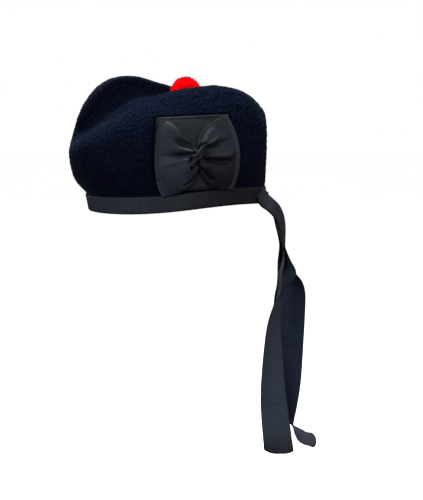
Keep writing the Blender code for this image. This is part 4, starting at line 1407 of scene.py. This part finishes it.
# %% The knot's rolls and loop
# A row for each roll, in millimetres: its radius, and its route as places towards the nape, up, and out
# from the knot's middle
KNOT_ROLLS = (
    (1.7, ((20.0, 17.6, -2.2), (12.0, 13.2, -1.0), (5.4, 10.4, 0.0), (1.0, 5.8, 1.2), (-3.2, 0.6, 1.4),
           (-7.0, -5.0, -0.4), (-9.0, -8.6, -2.4))),
    (1.35, ((10.0, 3.6, -2.2), (4.6, 0.8, 0.8), (-0.8, -2.6, 2.2), (-5.4, -6.4, 2.2),
            (-10.2, -9.6, 2.8), (-13.0, -13.4, 3.2), (-10.4, -18.0, 2.8), (-5.6, -16.6, 2.4),
            (-2.0, -12.6, 1.4))),
    (1.3, ((-14.0, -1.4, -2.2), (-9.4, -0.2, 0.2), (-4.8, -0.4, 1.6), (-0.8, 2.0, 2.2), (3.6, 3.4, 0.6),
           (7.0, 5.2, -1.6))),
    (1.5, ((-6.0, 8.8, -2.4), (-3.0, 4.4, 0.0), (0.6, 0.2, 0.6), (2.4, -4.6, 0.2), (1.6, -9.4, -0.8),
           (4.8, -12.6, -2.4))),
)
KNOT_STAND = BOW_STAND + RIBBON + KNOT_HEIGHT / 2
ROLL_STEPS = 16
ROLL_SIDES = 16
ROLL_BLUNTNESS = (3, 0.6)
ROLL_TILT = 0.2

one = np.ones(1)
knot_frame = np.array(wall_frame(one * KNOT_BACK, one * KNOT_UP))[:, 0]
knot_across, knot_upward, knot_out = knot_frame
knot_middle = off_wall(one * KNOT_BACK, one * KNOT_UP, one * KNOT_STAND)[0][0]
knot_axis = math.sin(KNOT_LEAN) * knot_across + math.cos(KNOT_LEAN) * knot_upward
knot_side = np.cross(knot_axis, knot_out)

rolls = []
for radius, route in KNOT_ROLLS:
    steps = ROLL_STEPS * len(route)
    path = smooth_line(np.array(route), np.linspace(0, len(route) - 1, steps)) / 1000
    power, root = ROLL_BLUNTNESS
    radii = radius / 1000 * (1 - np.abs(np.linspace(-1, 1, steps)) ** power) ** root
    grid = tube(knot_middle + path @ knot_frame, radii, ROLL_SIDES, knot_out + ROLL_TILT * knot_side)
    rolls.append((grid.reshape(-1, 3), grid_quads(*grid.shape[:2], loop_columns=True)))
knot = closed_piece("bow_knot_rolls", *joined(rolls), smooth_ribbon, weld=1e-7)
lay_uv(knot, (vertices_of(knot) - knot_middle) @ np.column_stack([knot_side, knot_axis]))
join_to_frame(knot, "bow_ribbon", "bow_knot")

# %% [markdown]
# ## The toorie
# A pompom is yarn tied in the middle and clipped to a ball. Its outer form is a cluster of blunt locks,
# and a closer look shows thousands of separate ends. A textured ball would have a smooth edge, so the
# ends are modelled: blunt strands that reach out from a small core to the locks' surface.

# %% The core
LOCKS = 48
LOCK_DEPTH = 0.0022
PILE_OVER = 0.0008
CORE_SHARE = 0.80
CORE_ROWS, CORE_COLUMNS = 24, 36

low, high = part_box("toorie")
toorie_middle = np.array((low + high) / 2)
toorie_radius = (high.y - low.y) / 2 + PILE_OVER
core_radius = CORE_SHARE * toorie_radius


def ball(middle, radius, rows, columns):
    """Points of a sphere: rows from pole to pole, each a circle as wide as the sine of its angle."""
    fall = np.linspace(0, math.pi, rows)[:, None]
    turn = 2 * math.pi * np.arange(columns)[None] / columns
    unit_ball = [np.sin(fall) * np.cos(turn), np.sin(fall) * np.sin(turn), np.cos(fall) + 0 * turn]
    return middle + radius * np.stack(unit_ball, axis=-1)


points = ball(toorie_middle, core_radius, CORE_ROWS, CORE_COLUMNS).reshape(-1, 3)
core = closed_piece("toorie_core", points, grid_quads(CORE_ROWS, CORE_COLUMNS, loop_columns=True),
                    wool, weld=1e-7, Shade=np.zeros(len(points)))
join_to_frame(core, "toorie_wool", "toorie")

# %% The pile
PILE_COUNT = 12500
PILE_RADIUS = 0.00032
PILE_TAPER = 0.85
PILE_SCATTER = 0.02
PILE_UNEVEN = 0.0009
PILE_BEND = 0.0007
PILE_ROOT = 0.001
FURROW_SHARE = 0.6
TIP_SHADE, PAINTED_FURROW_SHADE, SHADE_RANGE = 1.2, 0.6, 0.35
GOLDEN_TURN = math.pi * (3 - math.sqrt(5))


def golden_directions(count):
    """Unit vectors spread evenly over a sphere, each a golden turn on from the one before."""
    index = np.arange(count)
    up = 1 - 2 * (index + 0.5) / count
    level = np.sqrt(1 - up**2)
    turn = GOLDEN_TURN * index
    return np.column_stack([level * np.cos(turn), level * np.sin(turn), up])


draw = np.random.default_rng(31)
out = unit(golden_directions(PILE_COUNT) + draw.normal(0, PILE_SCATTER, (PILE_COUNT, 3)))
from_lock = np.arccos(np.clip((out @ golden_directions(LOCKS).T).max(axis=1), -1, 1))
furrow = np.minimum(1, from_lock / (2 / math.sqrt(LOCKS))) ** 2
reach = toorie_radius - FURROW_SHARE * LOCK_DEPTH * furrow - draw.uniform(0, PILE_UNEVEN, PILE_COUNT)
roots = toorie_middle + out * (core_radius - PILE_ROOT)
tips = draw.normal(0, PILE_BEND, (PILE_COUNT, 3))
heads = out * (reach - core_radius + PILE_ROOT)[:, None]
# Painted shade: strands are darker in the furrows between locks, and they also differ at random
shades = TIP_SHADE - PAINTED_FURROW_SHADE * furrow - draw.uniform(0, SHADE_RANGE, PILE_COUNT)
pile = strands("toorie_pile", roots, heads, tips, PILE_RADIUS, PILE_TAPER, wool, np.clip(shades, 0, 1))
join_to_frame(pile, "toorie_wool")

# %% [markdown]
# ## The tails
# Two ends of the binding ribbon hang from the back. At the top each is folded lengthwise, then it opens
# like a funnel and hangs nearly flat. A ribbon bends but never stretches, so each tail is a line across
# the ribbon, carried down a path, whose two halves hinge on the middle from shut to flat.

# %% The tails' paths
# A row holds how far down, back and aside a tail is from the middle of the binding at the nape, as
# shares of TAIL_DROP, TAIL_SWING and TAIL_SPREAD. Two angles follow, in degrees: the one in plan, from
# the back towards the wearer's right, that the folded ribbon faces, and the one between its halves.
TAIL_WIDTH = 0.038
TAIL_DROP = 0.318
TAIL_SWING = 0.020
TAIL_SPREAD = 0.020
FOLD_SOFTNESS = 0.22
FOLD_TURN = 0.12
NEAR_TAIL = (
    (0.035, 0.20, -1.32, -26, 0),
    (0.065, 0.63, -1.00, -30, 0),
    (0.110, 0.88, -0.85, -26, 0),
    (0.185, 1.03, -0.80, -6, 0),
    (0.250, 1.09, -0.85, 18, 24),
    (0.300, 1.02, -0.95, 52, 92),
    (0.350, 0.77, -1.02, 84, 160),
    (0.410, 0.58, -1.10, 70, 170),
    (0.500, 0.38, -1.15, 60, 172),
    (0.690, 0.37, -1.20, 42, 174),
    (0.800, 0.48, -1.20, 33, 174),
    (0.895, 0.65, -1.20, 28, 174),
    (0.952, 0.76, -1.20, 25, 174),
)
FAR_TAIL = (
    (0.035, 0.30, 0.50, -14, 0),
    (0.065, 0.60, 0.58, -25, 0),
    (0.110, 0.78, 0.64, -25, 0),
    (0.185, 0.95, 0.70, -8, 6),
    (0.250, 1.03, 0.78, 0, 34),
    (0.310, 1.27, 0.84, 0, 70),
    (0.362, 1.49, 0.86, 0, 125),
    (0.425, 1.49, 0.86, -4, 155),
    (0.600, 1.37, 0.82, -14, 170),
    (0.710, 1.32, 0.80, -26, 172),
    (0.810, 1.28, 0.80, -46, 172),
    (0.872, 1.46, 0.80, -70, 172),
    (0.912, 1.86, 0.80, -92, 172),
    (0.940, 2.40, 0.80, -112, 172),
    (0.956, 3.20, 0.80, -124, 172),
)
# Where the sewn end lies on the binding: the angle from the brow, and the share of its height
NEAR_SEWN = ((155.0, 0.72), (158.5, 0.36))
FAR_SEWN = ((184.0, 0.66), (184.5, 0.28))

# %% From the binding down to the free end
nape_rise = rim_line[COLUMNS // 2]


def sewn_station(angle, up):
    """Where a tail's folded end lies on the binding, the angle that it faces, and no opening."""
    turn = math.radians(angle)
    out = unit(np.array([-math.cos(turn) / HALF_LENGTH, -math.sin(turn) / HALF_WIDTH, 0.0]))
    stand = GAP + RIBBON + GAP + RIBBON + GAP / 2
    place = np.array([
        -HALF_LENGTH * RING_SHRINK * math.cos(turn), -HALF_WIDTH * RING_SHRINK * math.sin(turn),
        nape_rise + up * BINDING_HEIGHT,
    ]) + out * stand
    return [*place, math.degrees(math.atan2(out[1], out[0])), 0.0]


def tail_stations(sewn, table):
    """Rows of place, facing and opening, from the sewn end down."""
    rows = [sewn_station(*row) for row in sewn]
    nape = HALF_LENGTH + GAP + RIBBON
    top = nape_rise + BINDING_HEIGHT / 2
    for down, back, side, *angles in table:
        place = (nape + back * TAIL_SWING, side * TAIL_SPREAD, top - down * TAIL_DROP)
        rows.append([*place, *angles])
    return np.array(rows)


# %% A tail's path
TAIL_CELLS = 26
TAIL_THICKNESS = 0.0006
SMOOTHED_ROWS = 16
FINE_STEPS = 60


def tail_path(sewn, table):
    """Places and angles at even lengths down a tail, and those lengths: a curve through its stations,
    then a running mean whose weights are a raised cosine."""
    stations = tail_stations(sewn, table)
    fine = smooth_line(stations, np.linspace(0, len(stations) - 1, FINE_STEPS * len(stations)))
    length = lengths_along(fine[:, :3])
    down = np.linspace(0, length[-1], CELLS_A_RIB * round(length[-1] / RIB_PITCH) + 1)
    weights = np.hanning(2 * SMOOTHED_ROWS + 1)
    padding = ((SMOOTHED_ROWS, SMOOTHED_ROWS), (0, 0))
    even = np.column_stack([np.interp(down, length, part) for part in fine.T])
    padded = np.pad(even, padding, mode="reflect", reflect_type="odd")
    smooth = [np.convolve(part, weights / weights.sum(), "valid") for part in padded.T]
    return np.column_stack(smooth), down


# %% A tail's surface
END_ROUND, END_ROUNDED = 0.0045, 0.02
NEAR_SLANT, SLANTED = 0.011, 0.04
SEWN_FOLDS = (0.0075, 0.0100, 0.0125, 0.0150)
SEWN_FOLD_HEIGHT = 0.0012
SEWN_FOLD_WIDTH = 0.0007
SEWN_PAINTED_LIGHT, SEWN_PAINTED_LIGHTS = 0.5, (0.034, 0.019)
HANGS = (0.07, 0.11)
HANGS_UNTIL = 0.03
TAIL_DARKNESS = 0.75
TAIL_EDGE = 0.0009
END_ROWS = 3
END_DARKNESS = 0.5


def tail_surface(stations, down, slant):
    """A tail's grid. The places across the ribbon reach along the fold's edge by the cosine of half the
    opening and along its face by the sine, with a soft turn at the middle."""
    path = unit(np.gradient(stations[:, :3], axis=0))
    facing, opening = np.radians(stations[:, 3:].T)
    face = np.column_stack([np.cos(facing), np.sin(facing), 0 * facing])
    edge = unit(np.cross(path, face))
    face = np.cross(edge, path)
    across = np.linspace(-1, 1, TAIL_CELLS + 1)
    reach = np.sqrt(across**2 + FOLD_SOFTNESS**2) - FOLD_SOFTNESS
    reach /= reach[0]
    half = TAIL_WIDTH / 2
    layer = (RIBBON + GAP) / 2 * np.tanh(across / FOLD_TURN)
    along_edge = half * (reach - 0.5) * np.cos(opening / 2)[:, None]
    along_face = half * across * np.sin(opening / 2)[:, None] + layer
    left = (down[-1] - down)[:, None]
    cut = slant * (across + 1) / 2 * ramp(left, SLANTED, 0)
    cut = cut - END_ROUND * np.abs(across) ** 3 * ramp(left, END_ROUNDED, 0)
    grid = stations[:, None, :3] + cut[..., None] * path[:, None]
    grid += along_edge[..., None] * edge[:, None] + along_face[..., None] * face[:, None]
    square = grid_normals(grid)
    turned_in = sum(bell(down - place, SEWN_FOLD_WIDTH) for place in SEWN_FOLDS)
    relief = ribs_along(down) - RIB_DEPTH / 2 + SEWN_FOLD_HEIGHT * turned_in
    relief = relief[:, None] * selvedge((across + 1) * half, TAIL_WIDTH)
    return grid + square * relief[..., None], square, (across + 1) * half


def make_tail(name, sewn, table, slant, light_share, blue_shade_share, node_name):
    """One tail of ribbon. Its masks paint light or a bluish shade on it where it hangs, and paint shade
    dark along its edges and its end.
    """
    stations, down = tail_path(sewn, table)
    grid, square, across = tail_surface(stations, down, slant)
    even = np.ones(grid.shape[:2])
    left = (down[-1] - down)[:, None]
    # Painted light on the near tail, and painted bluish shade on the far one, where each hangs
    hanging = ramp(down[:, None], *HANGS) * ramp(left, 0, HANGS_UNTIL) * even
    # Painted shade: dark along the selvedges and the last rows, and over the far tail's tip
    edge_shade = bell(np.minimum(across, TAIL_WIDTH - across), TAIL_EDGE) * even
    edge_shade[-END_ROWS:] = 1
    edge_shade = np.maximum(edge_shade, blue_shade_share * END_DARKNESS * ramp(left, HANGS_UNTIL, 0))
    tail = ribbon_piece(
        name, grid, square, TAIL_THICKNESS, ribbed, across, down, Tail=even, Blued=blue_shade_share * hanging,
        Faded=light_share * np.maximum(hanging, SEWN_PAINTED_LIGHT * ramp(down[:, None], *SEWN_PAINTED_LIGHTS)),
        Seam=TAIL_DARKNESS * edge_shade,
    )
    tail.modifiers["Ribbon"].offset = 0
    print(f"{name}: {down[-1] * 1000:.0f} mm long")
    join_to_frame(tail, "ribbed_ribbon", node_name)


make_tail("tail_ribbon_near", NEAR_SEWN, NEAR_TAIL, NEAR_SLANT, 1.0, 0.0, "tail_near")
make_tail("tail_ribbon_far", FAR_SEWN, FAR_TAIL, 0, 0.0, 1.0, "tail_far")

# %% [markdown]
# ## Stitches
# Machine stitches hold the patch to the felt and hem the bow's outer edges. A dashed texture would do
# at a distance, but thread lies on top of cloth and dips into it. One spindle is copied along a line
# as an array, each copy turned to the line.


# %% A row of stitches
STITCH_PITCH = 0.0028
STITCH_LENGTH = 0.0023
STITCH_RADIUS = 0.00032
STITCH_BLUNT = 1.02
STITCH_RINGS, STITCH_SIDES = 5, 6
STITCH_ENDS = ((3, 2, 1, 0), (5, 4, 3, 0), (24, 25, 26, 27), (24, 27, 28, 29))


def stitch_row(path, outs):
    """Points and faces of stitches at even steps along a path: a spindle whose length follows the path
    and whose roundness stands in the plane of the other two directions."""
    length = lengths_along(path)
    at = np.arange(STITCH_PITCH / 2, length[-1], STITCH_PITCH)
    middle, out, ahead = (
        np.column_stack([np.interp(at, length, part) for part in values.T])
        for values in (path, outs, np.gradient(path, axis=0))
    )
    ahead = unit(ahead)
    t = np.linspace(-1, 1, STITCH_RINGS)[:, None, None]
    round_off = STITCH_RADIUS * np.sqrt(STITCH_BLUNT - t**2)
    rings = t * STITCH_LENGTH / 2 * ahead[:, None, None]
    rings = rings + round_off * spokes(np.cross(out, ahead), out, STITCH_SIDES)[:, None]
    points = middle[:, None, None] + rings
    faces = grid_quads(STITCH_RINGS, STITCH_SIDES, loop_columns=True)
    faces = np.concatenate([faces, STITCH_ENDS])
    return points.reshape(-1, 3), repeated(faces, len(at), STITCH_RINGS * STITCH_SIDES)


def stitches_piece(name, lines, slot):
    """Rows of stitches along several lines, as one piece of thread."""
    piece = closed_piece(name, *joined([stitch_row(*line) for line in lines]), thread)
    join_to_frame(piece, slot)


# %% Round the patch and along the bow's hems
SEAM_INSET = 0.0015
SEAM_POINTS = 80
THREAD_OVER_PATCH = 0.00012
THREAD_OVER_BOW = 0.0001
HEM_STITCHED = 0.952
HEM_ROW = round(HEM_STITCHED * (WING_ROWS - 1))
HEM_CELLS = slice(4, -4)

across, rise = 0.5 - SEAM_INSET / COCKADE_WIDTH, 0.5 - SEAM_INSET / COCKADE_HEIGHT
corners = ((-across, rise), (across, rise), (across, -rise), (-across, -rise), (-across, rise))
seams = []
for start, end in zip(corners, corners[1:]):
    places = patch_places(*np.linspace(start, end, SEAM_POINTS).T)
    height = np.full(SEAM_POINTS, PATCH_STAND + RIBBON + THREAD_OVER_PATCH)
    seams.append(off_wall(*places, height))
stitches_piece("patch_stitches", seams, "ribbed_ribbon")

hems = []
for face, out_of_wall in ((front_face, front_out), (back_face, back_out)):
    line, outs = face[HEM_ROW, HEM_CELLS], out_of_wall[HEM_ROW, HEM_CELLS]
    hems.append((line + THREAD_OVER_BOW * outs, outs))
stitches_piece("hem_stitches", hems, "bow_ribbon")

# %% [markdown]
# ## Floor, light and camera
# The cap is held up as a head holds it, so the pale floor lies below the tails. A white world and large
# soft lamps give the even light of a studio, a little stronger from above. The camera stands to the
# wearer's left and looks slightly down.

# %% The floor
FLOOR_DROP = 0.17
FLOOR_SIZE = 60.0
FLOOR_POINTS = 5
FLOOR_GREY = (0.86, 0.86, 0.86, 1)
FLOOR_PALE = (0.90, 0.90, 0.90, 1)

floor_finish, tree, shader = new_finish(
    "floor_paint", Roughness=0.9, Specular_IOR_Level=0.0, Emission_Color=(1, 1, 1, 1),
    Emission_Strength=0.45,
)
clouds = use_group(tree, mottle, Vector=place_on(tree), Cloud_Scale=0.8)["Clouds"]
paint(tree, shader, mix_colours(tree, clouds, FLOOR_GREY, FLOOR_PALE))
side = np.linspace(-FLOOR_SIZE / 2, FLOOR_SIZE / 2, FLOOR_POINTS)
along, aside = np.meshgrid(side, side)
flat = np.stack([along, aside, np.full_like(along, cad_box[0][2] - FLOOR_DROP)], axis=-1)
quads = grid_quads(FLOOR_POINTS, FLOOR_POINTS)
floor = mesh_of("floor", flat.reshape(-1, 3), quads, floor_finish)
floor.visible_diffuse = False
floor.visible_glossy = False

# %% The world: white to the camera, and for the cap a sky that is brightest overhead
SKY_BELOW = 0.10
SKY_OVERHEAD = 0.8
SKY_FROM, SKY_TO = -0.3, 1.0

world = bpy.data.worlds.new("studio")
bpy.context.scene.world = world
world.use_nodes = True
tree = world.node_tree
sky = tree.nodes["Background"]
upward = parts_of(tree, node(tree, "TexCoord").outputs["Generated"])["Z"]
sky.inputs["Color"].default_value = (1, 1, 1, 1)
tree.links.new(remap(tree, upward, SKY_FROM, SKY_TO, SKY_BELOW, SKY_OVERHEAD), sky.inputs["Strength"])
seen = node(tree, "Background", {"Color": (1, 1, 1, 1), "Strength": 1.0})
choose = node(tree, "MixShader", {
    0: node(tree, "LightPath").outputs["Is Camera Ray"], 1: sky.outputs[0], 2: seen.outputs[0],
})
tree.links.new(choose.outputs[0], tree.nodes["World Output"].inputs[0])


# %% The lamps
def lamp(name, place, target, size, power, colour=(1, 1, 1)):
    """A square area lamp that faces a target."""
    light = bpy.data.lights.new(name, "AREA")
    light.size = size
    light.energy = power
    light.color = colour
    shining = bpy.data.objects.new(name, light)
    bpy.context.scene.collection.objects.link(shining)
    shining.location = place
    direction = Vector(target) - Vector(place)
    shining.rotation_euler = direction.to_track_quat("-Z", "Y").to_euler()


lamp("overhead", (-0.08, 0.32, 1.42), (0.0, 0.0, 0.08), 0.45, 52.0)
lamp("front left", (-0.8, -2.0, 1.1), (0.0, 0.0, 0.03), 1.2, 29.0, (0.90, 0.97, 1.0))
lamp("front right", (1.8, -1.5, 0.3), (0.0, 0.0, -0.10), 1.2, 14.5, (1.0, 0.94, 0.92))

# %% The camera
CAMERA_PLACE = (0.0408, -1.1964, 0.0837)
CAMERA_DOWN = 6.459
LENS = 72.94

camera = bpy.data.objects.new("camera", bpy.data.cameras.new("camera"))
camera.data.lens = LENS
camera.location = CAMERA_PLACE
camera.rotation_euler = (math.radians(90 - CAMERA_DOWN), 0.0, 0.0)
bpy.context.scene.collection.objects.link(camera)
bpy.context.scene.camera = camera
bpy.context.scene.view_settings.view_transform = "Standard"
